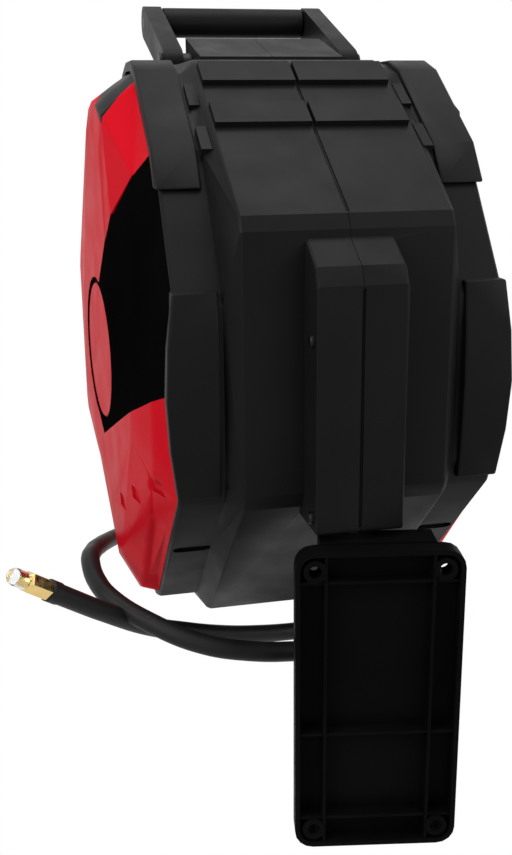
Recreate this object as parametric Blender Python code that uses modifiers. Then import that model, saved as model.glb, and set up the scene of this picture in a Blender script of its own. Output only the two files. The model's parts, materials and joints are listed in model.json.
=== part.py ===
"""Wall-mounted retractable hose reel, as an assembly of separate parts.

Metres, +Z up. The origin lies on the wall, in the middle of the wall bracket's hole pattern, and
+Y points from the wall into the room. The reel swivels on a vertical pin and rests turned to one
side. Reel sizes are measured from the middle of the case: x along the drum, y away from the wall, z up.
"""

import math

import bmesh
import bpy
from mathutils import Matrix, Vector

MM = 0.001
OBJECT_NAME = "hose_reel"

# Clearances
GAP = 0.3 * MM
SEAM = 0.15 * MM
OVERLAP = 3 * MM

# Where the reel hangs
REST_SWIVEL = math.radians(10.5)
PIVOT_X = -16 * MM
PIVOT_Y = 42 * MM
PIVOT_TO_AXIS = 207 * MM
AXIS_HEIGHT = 196 * MM

# Case outline, seen from the side
CASE_TOP = 204 * MM
CASE_BOTTOM = 211 * MM
CASE_REAR = 205 * MM
CASE_FRONT = 205 * MM
TOP_FLAT_REAR = 49 * MM
TOP_FLAT_FRONT = 5 * MM
REAR_FLAT_TOP = 106 * MM
REAR_FLAT_BOTTOM = 72 * MM
BOTTOM_FLAT_REAR = 62 * MM
BOTTOM_FLAT_FRONT = 100 * MM
FRONT_FLAT_TOP = 90 * MM
FRONT_FLAT_BOTTOM = 140 * MM

# Case across its width: a raised middle band between two rims
BAND_HALF = 68 * MM
BAND_SLOPE = 9 * MM
BAND_STEP = 11 * MM
BAND_CORNER = 6 * MM
CASE_HALF = 107 * MM
RIM_CORNER = 12 * MM
RIM_TOP_STEP = 3 * MM
SHOULDER_CUT_ABOVE = 80 * MM
SHOULDER_CUT_BELOW = 45 * MM
EDGE_ROUNDING = 1.6 * MM
WALL = 4 * MM
WEB = 4 * MM
COVER_SEAT = 7 * MM

# Raised details of the case
PAD_TOP = 64 * MM
PAD_BOTTOM = 68 * MM
PAD_EDGE = 1 * MM
PAD_BULGE = 5 * MM
PAD_OVERHANG = 6 * MM
PAD_LEVELS = 5
PAD_START = 80 * MM
PAD_DEPTH = 25 * MM
SHOULDER_STEP = 3 * MM
SHOULDER_BOTTOM = 122 * MM
SLAT_HEIGHT = 4 * MM
SLAT_LENGTH = 25 * MM
SLAT_STARTS = (3 * MM, 54 * MM)
SLAT_INSET = 2 * MM
TAB_LENGTH = 26 * MM
TAB_LEAD = 5 * MM
TAB_START = 71 * MM
TAB_END = 78 * MM
TAB_DROP = 2 * MM
TAB_DEPTH = 14 * MM
GROOVE_HALF = 1.2 * MM
GROOVE_DEPTH = 1.4 * MM
SLOT_X = 90.5 * MM
SLOT_Y = -132.6 * MM
SLOT_Z = -127.1 * MM
SLOT_HALF_LENGTH = 13.5 * MM
SLOT_HALF_HEIGHT = 4.5 * MM
SLOT_DEPTH = 2.4 * MM

# Pivot boss on the rear of the case
BOSS_HALF = 28.5 * MM
BOSS_STANDOFF = 28 * MM
BOSS_DEPTH = 17 * MM
BOSS_TOP = 70 * MM
BOSS_DROP = 85 * MM
BOSS_ROUND_DEPTH = 6 * MM
BOSS_ROUND_HEIGHT = 11 * MM
BOSS_SLOPE = 25 * MM
BOSS_ROUNDING = 2 * MM
PIN_RADIUS = 8 * MM
PIN_TOP = 64 * MM
PIN_HEAD_RADIUS = 12 * MM
PIN_HEAD = 5 * MM
BUSH_WALL = 2.7 * MM
BUSH_LENGTH = 24 * MM
UPPER_BUSH_TOP = 60 * MM
BUSH_FLANGE_RADIUS = 14.5 * MM
BUSH_FLANGE = 2.1 * MM
WASHER = 1.5 * MM
BORE_TOP = 80 * MM
BOSS_SCREW_HEIGHTS = (37 * MM, -75 * MM)
BOSS_SCREW_DEPTH = 12 * MM
SCREW_RADIUS = 2 * MM
SCREW_HEAD_RADIUS = 4 * MM
SCREW_HEAD = 2.5 * MM
SCREW_HEAD_ROUNDING = 1 * MM
SCREW_REACH = 16 * MM

# Wall bracket
PLATE_HALF_WIDTH = 53 * MM
PLATE_HALF_HEIGHT = 105 * MM
PLATE_DEPTH = 14 * MM
PLATE_CORNER = 12 * MM
PLATE_SKIN = 3 * MM
PLATE_RIM = 3.2 * MM
RIB = 2 * MM
RIB_SETBACK = 1 * MM
RIB_X = 33.8 * MM
RIB_HEIGHTS = (84 * MM, -22 * MM, -84 * MM)
HOLE_X = 40.5 * MM
HOLE_Z = 92 * MM
HOLE_RADIUS = 4.1 * MM
HOLE_BOSS_RADIUS = 7.5 * MM
ARM_HALF_WIDTH = 36.5 * MM
ARM_REACH = 32 * MM
ARM_FRONT_HEIGHT = 26 * MM
ARM_HEIGHT = 66 * MM
KNUCKLE_RADIUS = 15 * MM
KNUCKLE_HEIGHT = 36 * MM

# Side covers, their inlays and hub caps
# Each ring of the domed cover has a rise from the rim, a lean outwards to the front, and the share of the
# rim's size that it keeps at each corner of the case, in the order of the case's outline
COVER_WALL = 3 * MM
COVER_RINGS = (
    (12 * MM, 0.0, (0.95, 0.87, 0.87, 0.98, 0.86, 0.90, 0.90, 0.96)),
    (29 * MM, 0.06, (0.88, 0.63, 0.65, 0.84, 0.55, 0.60, 0.60, 0.90)),
    (31.5 * MM, 0.075, (0.76, 0.45, 0.48, 0.62, 0.44, 0.42, 0.36, 0.82)),
)
HUB_RADIUS = 53 * MM
HUB_FIT = 0.7 * MM
HUB_RISE = 30.8 * MM
HUB_LEAN = COVER_RINGS[-1][1]
HUB_DEPTH = 14 * MM
HUB_WALL = 3 * MM
HUB_CROWN = 1.2 * MM
INLAY_MARGIN = 4 * MM
INLAY_ROUND_START = math.radians(-75)
INLAY_ROUND_END = math.radians(105)
INLAY_REAR_LOW = (-230 * MM, 17 * MM)
INLAY_CORNER = (-5 * MM, -75 * MM)
INLAY_REAR_HIGH = (-230 * MM, 245 * MM)
TOP_INLAY_EDGE = ((-55 * MM, 230 * MM), (-52 * MM, 161 * MM), (60 * MM, 214 * MM), (60 * MM, 230 * MM))
VENTS = ((-158 * MM, -70 * MM), (-113 * MM, -90 * MM), (-72 * MM, -109 * MM))
VENT_WIDTH = 17 * MM
VENT_HEIGHT = 10 * MM
VENT_DEPTH = 1.8 * MM

# Carry handle
HANDLE_Y = 34 * MM
HANDLE_Z = 205 * MM
HANDLE_REACH = 112.5 * MM
HANDLE_REST = math.radians(19.5)
HINGE_HALF = 54.6 * MM
HINGE_REAR = 8 * MM
HINGE_FRONT = 58 * MM
HINGE_REAR_RISE = 4 * MM
HINGE_FRONT_RISE = 21 * MM
ARM_INNER = 62 * MM
ARM_THICKNESS = 15 * MM
ARM_KNUCKLE_RADIUS = 11 * MM
ARM_END_RADIUS = 13 * MM
GRIP_RADIUS = 12 * MM
GRIP_ROUNDING = 1.5 * MM
HANDLE_PIN_RADIUS = 5 * MM
HANDLE_PIN_DEPTH = 14 * MM
SHOULDER_RADIUS = 7.5 * MM

# Shaft and drum, a little below the middle of the case
DRUM_DROP = 8.5 * MM
SHAFT_RADIUS = 8 * MM
AIR_BORE_RADIUS = 3 * MM
AIR_PORT_RADIUS = 2.4 * MM
HUB_BOSS_RADIUS = 20 * MM
HUB_BOSS = 10 * MM
NUT_RADIUS = 14 * MM
NUT_HEIGHT = 8 * MM
FLANGE = 4 * MM
DRUM_END_SPACE = 1.7 * MM
WEB_OUTER = CASE_HALF - COVER_SEAT
WEB_INNER = WEB_OUTER - WEB
SHAFT_END = WEB_OUTER + 2 * NUT_HEIGHT
FLANGE_OUTER = WEB_INNER - HUB_BOSS - DRUM_END_SPACE
DRUM_HALF = FLANGE_OUTER - FLANGE - GAP
DRUM_RADIUS = 78 * MM
DRUM_WALL = 3 * MM
DRUM_SIDES = 36
FLANGE_RADIUS = 152 * MM
FLANGE_LIP = 3 * MM
DRUM_BUSH_RADIUS = 14 * MM
DRUM_BUSH_LENGTH = 12 * MM
DIVIDER_X = -18 * MM
DIVIDER = 3 * MM
ARBOR_RADIUS = 12 * MM
SPRING_LEFT = -DRUM_HALF + 10 * MM
SPRING_RIGHT = DIVIDER_X - 6 * MM
SPRING_STRIP = 1.2 * MM
SPRING_TURNS = 5
SPRING_POINTS_A_TURN = 16
UNION_X = 36 * MM
UNION_HALF = 16 * MM
UNION_RADIUS = 18 * MM
NIPPLE_RADIUS = 6 * MM
NIPPLE_DEPTH = 6 * MM
NIPPLE_BORE = 3.5 * MM

# Ratchet on the right flange, pawl on the right half of the case
RATCHET_TEETH = 16
RATCHET_ROOT = 56 * MM
RATCHET_TIP = 62 * MM
RATCHET_BORE = 46 * MM
RATCHET_TOOTH = ((-0.25, RATCHET_ROOT), (0.2, RATCHET_ROOT), (0.28, RATCHET_TIP), (0.36, RATCHET_TIP))
RATCHET_WIDTH = 5 * MM
PAWL_PIVOT_Y = 42 * MM
PAWL_PIVOT_Z = 77 * MM
PAWL_HUB_RADIUS = 7 * MM
PAWL_TIP_WIDTH = 4 * MM
PAWL_CLEARANCE = 2.5 * MM
PAWL_PIN_RADIUS = 3 * MM
PAWL_SPRING_WIRE = 0.5 * MM
PAWL_SPRING_TURNS = 3
PAWL_SPRING_POINTS = 8

# Hose and its guide
HOSE_RADIUS = 7 * MM
INNER_LAYER = 13.5 * MM
LAYER_SPACE = 1.6 * MM
WINDING_PITCH = 15.1 * MM
WINDING_HALF = DRUM_HALF - HOSE_RADIUS - 1 * MM
WINDING_TURNS = math.floor(4 * WINDING_HALF / WINDING_PITCH) / 2
POINTS_A_TURN = 20
LEAD_X = 24 * MM
LEAD_START = math.radians(-200)
LEAD_END = math.radians(-86)
LEAD_STEPS = 8
LEAD_RUN = (0.35, 0.7)
LEAD_POINT_STEP = 27 * MM
MOUTH_Z = -100 * MM
MOUTH_HALF = 22 * MM
GUIDE_WALL = 8 * MM
GUIDE_FLANGE = 8 * MM
GUIDE_PLATE = 4 * MM
GUIDE_DEPTH = 42 * MM
ROLLER_RADIUS = 6 * MM
ROLLER_SPACE = 0.4 * MM
ROLLER_PIN_RADIUS = 2 * MM
ROLLER_SETBACK = 11.8 * MM
STOP_RADIUS = 26 * MM
HOSE_END_SPACE = 0.3 * MM

# Fitting on the hose's end
FERRULE_RADIUS = 7.5 * MM
FERRULE_LENGTH = 10 * MM
FERRULE_ROUNDING = 1.3 * MM
TAIL_RADIUS = 5 * MM
HEX_RADIUS = 7.4 * MM
HEX_LENGTH = 19.5 * MM
HEX_CHAMFER = 2.6 * MM
THREAD_RADIUS = 4.6 * MM
THREAD_LENGTH = 8 * MM
CAP_RADIUS = 5.8 * MM
CAP_LENGTH = 13.5 * MM
CAP_BORE_DEPTH = 8.6 * MM
CAP_ROUND_STEPS = 5

# Air inlet at the right hub
INLET_RADIUS = 9 * MM
INLET_HEX_RADIUS = 11 * MM
INLET_LENGTH = 26 * MM
INLET_HEX = 9 * MM

# Free hose outside the case, in millimetres from the middle of the case, chosen by hand
FREE_ROUTE = (
    (0, 205, -100), (0, 230, -100), (0, 255, -100), (-11, 288, -105), (-44, 312, -127), (-80, 303, -160),
    (-98, 268, -190), (-99, 214, -212), (-99, 165, -220), (-106, 130, -214), (-117, 100, -203),
    (-129, 65, -192), (-139, 25, -179), (-148, -20, -164), (-155, -55, -154), (-159, -86, -149),
    (-157, -108, -154), (-148, -130, -160), (-124, -154, -170), (-92, -171, -181), (-58, -175, -189),
    (-22, -172, -195), (18, -164, -201), (54, -147, -208), (78, -118, -217), (80, -82, -227),
    (54, -57, -238), (12, -54, -241), (-34, -70, -231), (-66, -86, -219), (-95, -102, -205),
    (-121, -123, -188), (-157, -154, -157), (-186, -174, -132),
)
HOSE_POINT_STEP = 34 * MM

BLACK = (0.022, 0.022, 0.023)
DARK = (0.012, 0.012, 0.013)
RED = (0.62, 0.02, 0.03)
STEEL = (0.55, 0.56, 0.57)
BRASS = (0.75, 0.55, 0.22)
NYLON = (0.75, 0.74, 0.70)
RUBBER = (0.018, 0.018, 0.019)
CLEAR = (0.85, 0.87, 0.88)

LEFT, RIGHT = -1, 1
SIDE_NAMES = {LEFT: "left", RIGHT: "right"}


def clear_scene():
    """Empties the scene and makes the two collections, for parts and for cutters."""
    for obj in list(bpy.data.objects):
        bpy.data.objects.remove(obj, do_unlink=True)
    collections = []
    for name in (OBJECT_NAME, OBJECT_NAME + "_cutters"):
        collection = bpy.data.collections.new(name)
        bpy.context.scene.collection.children.link(collection)
        collections.append(collection)
    return collections


PARTS, CUTTERS = clear_scene()


def material(name, color, roughness=0.5, metallic=0.0, alpha=1.0):
    """A Principled material, made once for each name."""
    found = bpy.data.materials.get(name)
    if found:
        return found
    made = bpy.data.materials.new(name)
    made.use_nodes = True
    shader = made.node_tree.nodes["Principled BSDF"]
    shader.inputs["Base Color"].default_value = (*color, 1.0)
    shader.inputs["Roughness"].default_value = roughness
    shader.inputs["Metallic"].default_value = metallic
    shader.inputs["Alpha"].default_value = alpha
    made.diffuse_color = (*color, alpha)
    return made


CASE_PLASTIC = material("case_black_plastic", BLACK, 0.45)
PANEL_PLASTIC = material("panel_dark_plastic", DARK, 0.35)
COVER_PLASTIC = material("cover_red_plastic", RED, 0.3)
SHAFT_STEEL = material("zinc_steel", STEEL, 0.35, 1.0)
FITTING_BRASS = material("fitting_brass", BRASS, 0.25, 1.0)
BUSH_NYLON = material("bush_nylon", NYLON, 0.5)
HOSE_RUBBER = material("hose_rubber", RUBBER, 0.7)
CAP_CLEAR = material("clear_cap", CLEAR, 0.15, 0.0, 0.35)


def empty(name, parent, location, turn=0.0):
    """An empty that carries other objects, turned about Z."""
    obj = bpy.data.objects.new(name, None)
    PARTS.objects.link(obj)
    obj.parent = parent
    obj.location = location
    obj.rotation_euler = (0.0, 0.0, turn)
    return obj


def place(name, mesh, parent, finish=None, location=(0, 0, 0), rotation=(0, 0, 0)):
    """An object from a mesh: a part where it has a finish, and otherwise a cutter or a piece to join."""
    obj = bpy.data.objects.new(name, mesh)
    obj.parent = parent
    obj.location = location
    obj.rotation_euler = rotation
    if finish:
        PARTS.objects.link(obj)
        mesh.materials.append(finish)
    else:
        CUTTERS.objects.link(obj)
        obj.hide_render = True
        obj.display_type = "WIRE"
    return obj


def boolean(obj, other, operation):
    """Adds a Boolean modifier that joins, cuts or keeps with another object."""
    modifier = obj.modifiers.new(other.name, "BOOLEAN")
    modifier.operation = operation
    modifier.object = other
    modifier.solver = "EXACT"


def cut(obj, *others):
    for other in others:
        boolean(obj, other, "DIFFERENCE")


def join(obj, *others):
    for other in others:
        boolean(obj, other, "UNION")


def mesh_from(bm, name):
    """Closes a bmesh into a mesh with its faces pointing out."""
    bmesh.ops.recalc_face_normals(bm, faces=bm.faces)
    mesh = bpy.data.meshes.new(name)
    bm.to_mesh(mesh)
    bm.free()
    return mesh


def box_mesh(name, low, high):
    """A box between two corners."""
    bm = bmesh.new()
    bmesh.ops.create_cube(bm, size=1.0)
    low, high = Vector(low), Vector(high)
    size = high - low
    bmesh.ops.scale(bm, vec=size, verts=bm.verts)
    bmesh.ops.translate(bm, vec=(low + high) / 2, verts=bm.verts)
    return mesh_from(bm, name)


AXIS_TURN = {
    "X": Matrix.Rotation(math.pi / 2, 4, "Y"),
    "Y": Matrix.Rotation(-math.pi / 2, 4, "X"),
    "Z": Matrix.Identity(4),
}


def rod_mesh(name, axis, radius, start, end, centre=(0, 0, 0), sides=24):
    """A cylinder along an axis, from start to end on it, through a centre point."""
    bm = bmesh.new()
    bmesh.ops.create_cone(
        bm, cap_ends=True, segments=sides, radius1=radius, radius2=radius, depth=abs(end - start)
    )
    middle = Vector(centre)
    middle["XYZ".index(axis)] += (start + end) / 2
    bmesh.ops.transform(bm, matrix=Matrix.Translation(middle) @ AXIS_TURN[axis], verts=bm.verts)
    mesh = mesh_from(bm, name)
    mesh.shade_smooth()
    mesh.set_sharp_from_angle(angle=math.radians(40))
    return mesh


OUTLINE_TURN = {
    "X": Matrix(((0, 0, 1, 0), (1, 0, 0, 0), (0, 1, 0, 0), (0, 0, 0, 1))),
    "Y": Matrix(((1, 0, 0, 0), (0, 0, -1, 0), (0, 1, 0, 0), (0, 0, 0, 1))),
    "Z": Matrix.Identity(4),
}


def outline_mesh(name, axis, points, start, end):
    """A flat outline made thick along an axis. Points are (y, z), (x, z) or (x, y) for X, Y or Z."""
    curve = bpy.data.curves.new(name, "CURVE")
    curve.dimensions = "2D"
    curve.fill_mode = "BOTH"
    curve.extrude = abs(end - start) / 2
    spline = curve.splines.new("POLY")
    spline.points.add(len(points) - 1)
    for spot, (u, v) in zip(spline.points, points):
        spot.co = (u, v, 0.0, 1.0)
    spline.use_cyclic_u = True
    guide = bpy.data.objects.new(name + "_outline", curve)
    CUTTERS.objects.link(guide)
    graph = bpy.context.evaluated_depsgraph_get()
    mesh = bpy.data.meshes.new_from_object(guide.evaluated_get(graph))
    bpy.data.objects.remove(guide, do_unlink=True)
    bm = bmesh.new()
    bm.from_mesh(mesh)
    bpy.data.meshes.remove(mesh)
    bmesh.ops.remove_doubles(bm, verts=bm.verts, dist=1e-6)
    middle = Vector((0, 0, 0))
    middle["XYZ".index(axis)] = (start + end) / 2
    bmesh.ops.transform(bm, matrix=Matrix.Translation(middle) @ OUTLINE_TURN[axis], verts=bm.verts)
    return mesh_from(bm, name)


def turned(name, parent, finish, profile, axis="Z", location=(0, 0, 0), steps=20, closed=False, flip=False):
    """A turned part: (radius, height) points down its outer side, spun with a Screw modifier."""
    bm = bmesh.new()
    verts = [bm.verts.new((radius, 0.0, height)) for radius, height in profile]
    for first, second in zip(verts, verts[1:]):
        bm.edges.new((first, second))
    if closed:
        bm.edges.new((verts[-1], verts[0]))
    mesh = bpy.data.meshes.new(name)
    bm.to_mesh(mesh)
    bm.free()
    turn = {"X": (0, math.pi / 2, 0), "Y": (-math.pi / 2, 0, 0), "Z": (0, 0, 0)}[axis]
    if flip:
        turn = {"X": (0, -math.pi / 2, 0), "Y": (math.pi / 2, 0, 0), "Z": (math.pi, 0, 0)}[axis]
    obj = place(name, mesh, parent, finish, location, turn)
    screw = obj.modifiers.new("turn", "SCREW")
    screw.steps = steps
    screw.render_steps = steps
    screw.use_merge_vertices = True
    screw.merge_threshold = 1e-6
    screw.use_smooth_shade = False
    return obj


def ring(name, parent, finish, inner, outer, low, high, axis="X", location=(0, 0, 0), steps=20):
    """A plain ring or sleeve along an axis."""
    profile = ((inner, high), (outer, high), (outer, low), (inner, low))
    return turned(name, parent, finish, profile, axis, location, steps, closed=True)


def loft_mesh(name, rings):
    """A closed solid through rings of points, all of equal count."""
    bm = bmesh.new()
    rows = [[bm.verts.new(point) for point in points] for points in rings]
    count = len(rows[0])
    for first, second in zip(rows, rows[1:]):
        for i in range(count):
            j = (i + 1) % count
            bm.faces.new((first[i], first[j], second[j], second[i]))
    bm.faces.new(rows[0])
    bm.faces.new(rows[-1])
    return mesh_from(bm, name)


def at_x(x, outline):
    """An outline of (y, z) points as a ring of points at one x."""
    return [(x, y, z) for y, z in outline]


def round_edges(obj, width):
    """Rounds an object's edges with a Bevel modifier."""
    bevel = obj.modifiers.new("rounding", "BEVEL")
    bevel.width = width
    bevel.segments = 2
    bevel.limit_method = "ANGLE"
    bevel.angle_limit = math.radians(40)
    return obj


def inset(points, distance):
    """The outline moved inwards by a distance. Points run anticlockwise seen from +X."""
    count = len(points)
    moved = []
    for i in range(count):
        before, here, after = (Vector(points[j % count]) for j in (i - 1, i, i + 1))
        first = (here - before).normalized()
        second = (after - here).normalized()
        normal_1 = Vector((-first.y, first.x))
        normal_2 = Vector((-second.y, second.x))
        moved.append(tuple(here + (normal_1 + normal_2) * distance / (1 + normal_1.dot(normal_2))))
    return moved


def cut_corners(points, cuts):
    """The outline with each corner cut off, at its own distances along the edges before and after it."""
    count = len(points)
    made = []
    for i, (back, onward) in enumerate(cuts):
        before, here, after = (Vector(points[j % count]) for j in (i - 1, i, i + 1))
        made.append(tuple(here + (before - here).normalized() * back))
        made.append(tuple(here + (after - here).normalized() * onward))
    return made


def arc(centre, radius, start, end, count):
    """Points along an arc, angles in radians."""
    steps = [start + (end - start) * i / (count - 1) for i in range(count)]
    return [(centre[0] + radius * math.cos(a), centre[1] + radius * math.sin(a)) for a in steps]


def rounded_rectangle(half_width, half_height, radius):
    """A rectangle with round corners about the origin."""
    points = []
    for i, (sx, sz) in enumerate(((1, 1), (-1, 1), (-1, -1), (1, -1))):
        centre = (sx * (half_width - radius), sz * (half_height - radius))
        points += arc(centre, radius, i * math.pi / 2, (i + 1) * math.pi / 2, 5)
    return points


# The case's side outline, anticlockwise seen from +X, starting at the top rear corner
BAND = [
    (-TOP_FLAT_REAR, CASE_TOP), (-CASE_REAR, REAR_FLAT_TOP), (-CASE_REAR, -REAR_FLAT_BOTTOM),
    (-BOTTOM_FLAT_REAR, -CASE_BOTTOM), (BOTTOM_FLAT_FRONT, -CASE_BOTTOM), (CASE_FRONT, -FRONT_FLAT_BOTTOM),
    (CASE_FRONT, FRONT_FLAT_TOP), (TOP_FLAT_FRONT, CASE_TOP),
]
REAR_TOP_CORNER = 1


def band_outline(inward=0.0):
    return cut_corners(inset(BAND, inward), [(BAND_CORNER, BAND_CORNER)] * len(BAND))


def rim_outline(inward=0.0):
    """The outline of the rims: below the band but nearly level with it on top, and cut long at the rear."""
    low, high = inset(BAND, BAND_STEP), inset(BAND, RIM_TOP_STEP)
    corners = [high[0], *low[1:-1], high[-1]]
    cuts = [(RIM_CORNER, RIM_CORNER)] * len(BAND)
    cuts[REAR_TOP_CORNER] = (SHOULDER_CUT_ABOVE, SHOULDER_CUT_BELOW)
    return inset(cut_corners(corners, cuts), inward)


PIVOT = (0.0, -PIVOT_TO_AXIS)
BORE_RADIUS = PIN_RADIUS + BUSH_WALL + 2 * GAP
GUIDE_FRONT = CASE_FRONT + GAP + GUIDE_PLATE
GUIDE_REAR = GUIDE_FRONT - GUIDE_DEPTH
GUIDE_HALF = MOUTH_HALF + GUIDE_WALL
ROLLER_OFFSET = HOSE_RADIUS + ROLLER_SPACE + ROLLER_RADIUS
KNUCKLE_TOP = AXIS_HEIGHT - BOSS_DROP - BUSH_FLANGE - WASHER - 3 * GAP
COVER_TOP = CASE_HALF + COVER_RINGS[-1][0]
HUB_TOP = CASE_HALF + HUB_RISE
CHAMFER_TOP, CHAMFER_BOTTOM = Vector(BAND[0]), Vector(BAND[1])
CHAMFER_ALONG = (CHAMFER_BOTTOM - CHAMFER_TOP).normalized()
CHAMFER_OUT = Vector((CHAMFER_ALONG.y, -CHAMFER_ALONG.x))

swivel_axis = empty("swivel_axis", None, (PIVOT_X, PIVOT_Y, 0), REST_SWIVEL)
reel_axis = empty("reel_axis", swivel_axis, (0, PIVOT_TO_AXIS, AXIS_HEIGHT))
drum_axis = empty("drum_axis", reel_axis, (0, 0, -DRUM_DROP))
handle_axis = empty("handle_axis", reel_axis, (0, HANDLE_Y, HANDLE_Z))


def span(side, near, far):
    """An x range on one side of the seam, lowest first."""
    return sorted((side * near, side * far))


def case_half(side):
    """One half of the black case: band, rim, side web, pivot boss, hinge block and raised details."""
    name = SIDE_NAMES[side] + "_case_half"

    def helper(tag, mesh):
        return place(name + tag, mesh, reel_axis)

    rings = (
        at_x(-side * 2 * OVERLAP, band_outline()),
        at_x(side * (BAND_HALF - EDGE_ROUNDING), band_outline()),
        at_x(side * BAND_HALF, band_outline(EDGE_ROUNDING / 2)),
        at_x(side * (BAND_HALF + BAND_SLOPE), rim_outline()),
        at_x(side * (CASE_HALF - EDGE_ROUNDING), rim_outline()),
        at_x(side * CASE_HALF, rim_outline(EDGE_ROUNDING)),
    )
    half = place(name, loft_mesh(name, rings), reel_axis, CASE_PLASTIC)
    join(half, *raised_details(side, helper))
    cavity = (
        at_x(-side * 3 * OVERLAP, band_outline(WALL)),
        at_x(side * (BAND_HALF - WALL), band_outline(WALL)),
        at_x(side * (BAND_HALF - WALL + BAND_SLOPE), rim_outline(WALL)),
        at_x(side * WEB_INNER, rim_outline(WALL)),
    )
    cut(half, helper("_cavity", loft_mesh(name, cavity)))
    rear = -CASE_REAR - BOSS_STANDOFF
    boss_top = BOSS_TOP + BOSS_ROUND_HEIGHT
    boss = (
        (rear, -BOSS_DROP), (-CASE_REAR + BOSS_DEPTH, -BOSS_DROP),
        (-CASE_REAR + BOSS_DEPTH, boss_top + BOSS_SLOPE), (rear + BOSS_ROUND_DEPTH, boss_top),
        (rear, BOSS_TOP),
    )
    block = helper("_boss", outline_mesh(name, "X", boss, *span(side, -3 * OVERLAP, BOSS_HALF)))
    join(half, round_edges(block, BOSS_ROUNDING))
    hub = span(side, WEB_INNER - HUB_BOSS, WEB_OUTER - GAP)
    join(half, helper("_hub_boss", rod_mesh(name, "X", HUB_BOSS_RADIUS, *hub, (0, 0, -DRUM_DROP))))
    lip = CASE_HALF + PAD_EDGE + PAD_OVERHANG + OVERLAP
    seat = (at_x(side * WEB_OUTER, rim_outline(WALL)), at_x(side * lip, rim_outline(WALL)))
    cut(half, helper("_cover_seat", loft_mesh(name, seat)))
    cut(half, *case_grooves(side, helper))
    cut(half, *case_holes(side, helper))
    beyond = span(side, -CASE_HALF, SEAM)
    far = 2 * CASE_BOTTOM
    cut(half, helper("_seam", box_mesh(name, (beyond[0], -far, -far), (beyond[1], far, far))))


def pad_mesh(name, side):
    """A pad on the rear of the rim, fullest at half its height and drawn in to the rim at its ends."""
    rim_rear = -CASE_REAR + BAND_STEP
    rings = []
    for i in range(PAD_LEVELS):
        share = i / (PAD_LEVELS - 1)
        fullness = math.sin(math.pi * share)
        z = PAD_TOP - (PAD_TOP + PAD_BOTTOM) * share
        rear = rim_rear - PAD_EDGE - PAD_BULGE * fullness
        outer = side * (CASE_HALF + PAD_EDGE + PAD_OVERHANG * fullness)
        inner, front = side * PAD_START, rim_rear + PAD_DEPTH
        rings.append([(inner, rear, z), (outer, rear, z), (outer, front, z), (inner, front, z)])
    return loft_mesh(name, rings)


def chamfer_strip(name, start, length, low, high, across):
    """A bar along the case's upper rear chamfer, between two heights from the band's surface."""
    ends = [CHAMFER_TOP + CHAMFER_ALONG * distance for distance in (start, start + length)]
    outline = [tuple(end + CHAMFER_OUT * low) for end in ends]
    outline += [tuple(end + CHAMFER_OUT * high) for end in reversed(ends)]
    return outline_mesh(name, "X", outline, *across)


def raised_details(side, helper):
    """Pads and shoulders on the rim, slats and tabs on the band, and the hinge block of the handle."""
    name = SIDE_NAMES[side] + "_detail"
    pieces = [round_edges(helper("_pad", pad_mesh(name, side)), EDGE_ROUNDING)]
    ends = (side * PAD_START, side * (CASE_HALF + SHOULDER_STEP))
    rings = [at_x(x, rim_outline(-SHOULDER_STEP)) for x in ends]
    shoulder = helper("_shoulder", loft_mesh(name, rings))
    reach = CASE_HALF + CASE_TOP
    zone = box_mesh(name, (-reach, -reach, SHOULDER_BOTTOM), (reach, reach, reach))
    boolean(shoulder, helper("_shoulder_zone", zone), "INTERSECT")
    pieces.append(round_edges(shoulder, EDGE_ROUNDING))
    for i, distance in enumerate(SLAT_STARTS):
        start = distance + BAND_CORNER
        across = span(side, -OVERLAP, BAND_HALF - SLAT_INSET)
        slat = chamfer_strip(name, start, SLAT_LENGTH, -OVERLAP, SLAT_HEIGHT, across)
        pieces.append(helper(f"_slat_{i + 1}", slat))
        start += SLAT_LENGTH - TAB_LEAD
        across = span(side, TAB_START, TAB_END)
        tab = chamfer_strip(name, start, TAB_LENGTH, -TAB_DEPTH, -TAB_DROP, across)
        pieces.append(helper(f"_tab_{i + 1}", tab))
    block = (
        (-HINGE_REAR, CASE_TOP - OVERLAP), (HINGE_FRONT, CASE_TOP - HINGE_FRONT),
        (HINGE_FRONT, CASE_TOP + HINGE_FRONT_RISE), (-HINGE_REAR, CASE_TOP + HINGE_REAR_RISE),
    )
    mesh = outline_mesh(name, "X", block, *span(side, -OVERLAP, HINGE_HALF))
    pieces.append(helper("_hinge_block", mesh))
    return pieces


def case_grooves(side, helper):
    """Cutters for the groove along the seam and the oblong recess low on the rim."""
    name = SIDE_NAMES[side] + "_groove"
    start = BAND_CORNER + GROOVE_HALF
    length = (CHAMFER_BOTTOM - CHAMFER_TOP).length - 2 * start
    across = (-GROOVE_HALF, GROOVE_HALF)
    high = SLAT_HEIGHT + OVERLAP
    rear = -CASE_REAR - BOSS_STANDOFF
    low_corner = (-GROOVE_HALF, rear - OVERLAP, -BOSS_DROP + 2 * BOSS_ROUNDING)
    high_corner = (GROOVE_HALF, rear + GROOVE_DEPTH, BOSS_TOP - BOSS_ROUNDING)
    grooves = [
        helper("_chamfer_groove", chamfer_strip(name, start, length, -GROOVE_DEPTH, high, across)),
        helper("_boss_groove", box_mesh(name, low_corner, high_corner)),
    ]
    outline = rounded_rectangle(SLOT_HALF_LENGTH, SLOT_HALF_HEIGHT, SLOT_HALF_HEIGHT)
    mesh = outline_mesh(name, "Y", outline, -OVERLAP, SLOT_DEPTH)
    rear_bottom, bottom_rear = BAND[REAR_TOP_CORNER + 1], BAND[REAR_TOP_CORNER + 2]
    lean = math.atan2(bottom_rear[0] - rear_bottom[0], rear_bottom[1] - bottom_rear[1])
    slot = helper("_slot", mesh)
    slot.location = (side * SLOT_X, SLOT_Y, SLOT_Z)
    slot.rotation_euler = (lean, 0, 0)
    grooves.append(slot)
    return grooves


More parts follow.
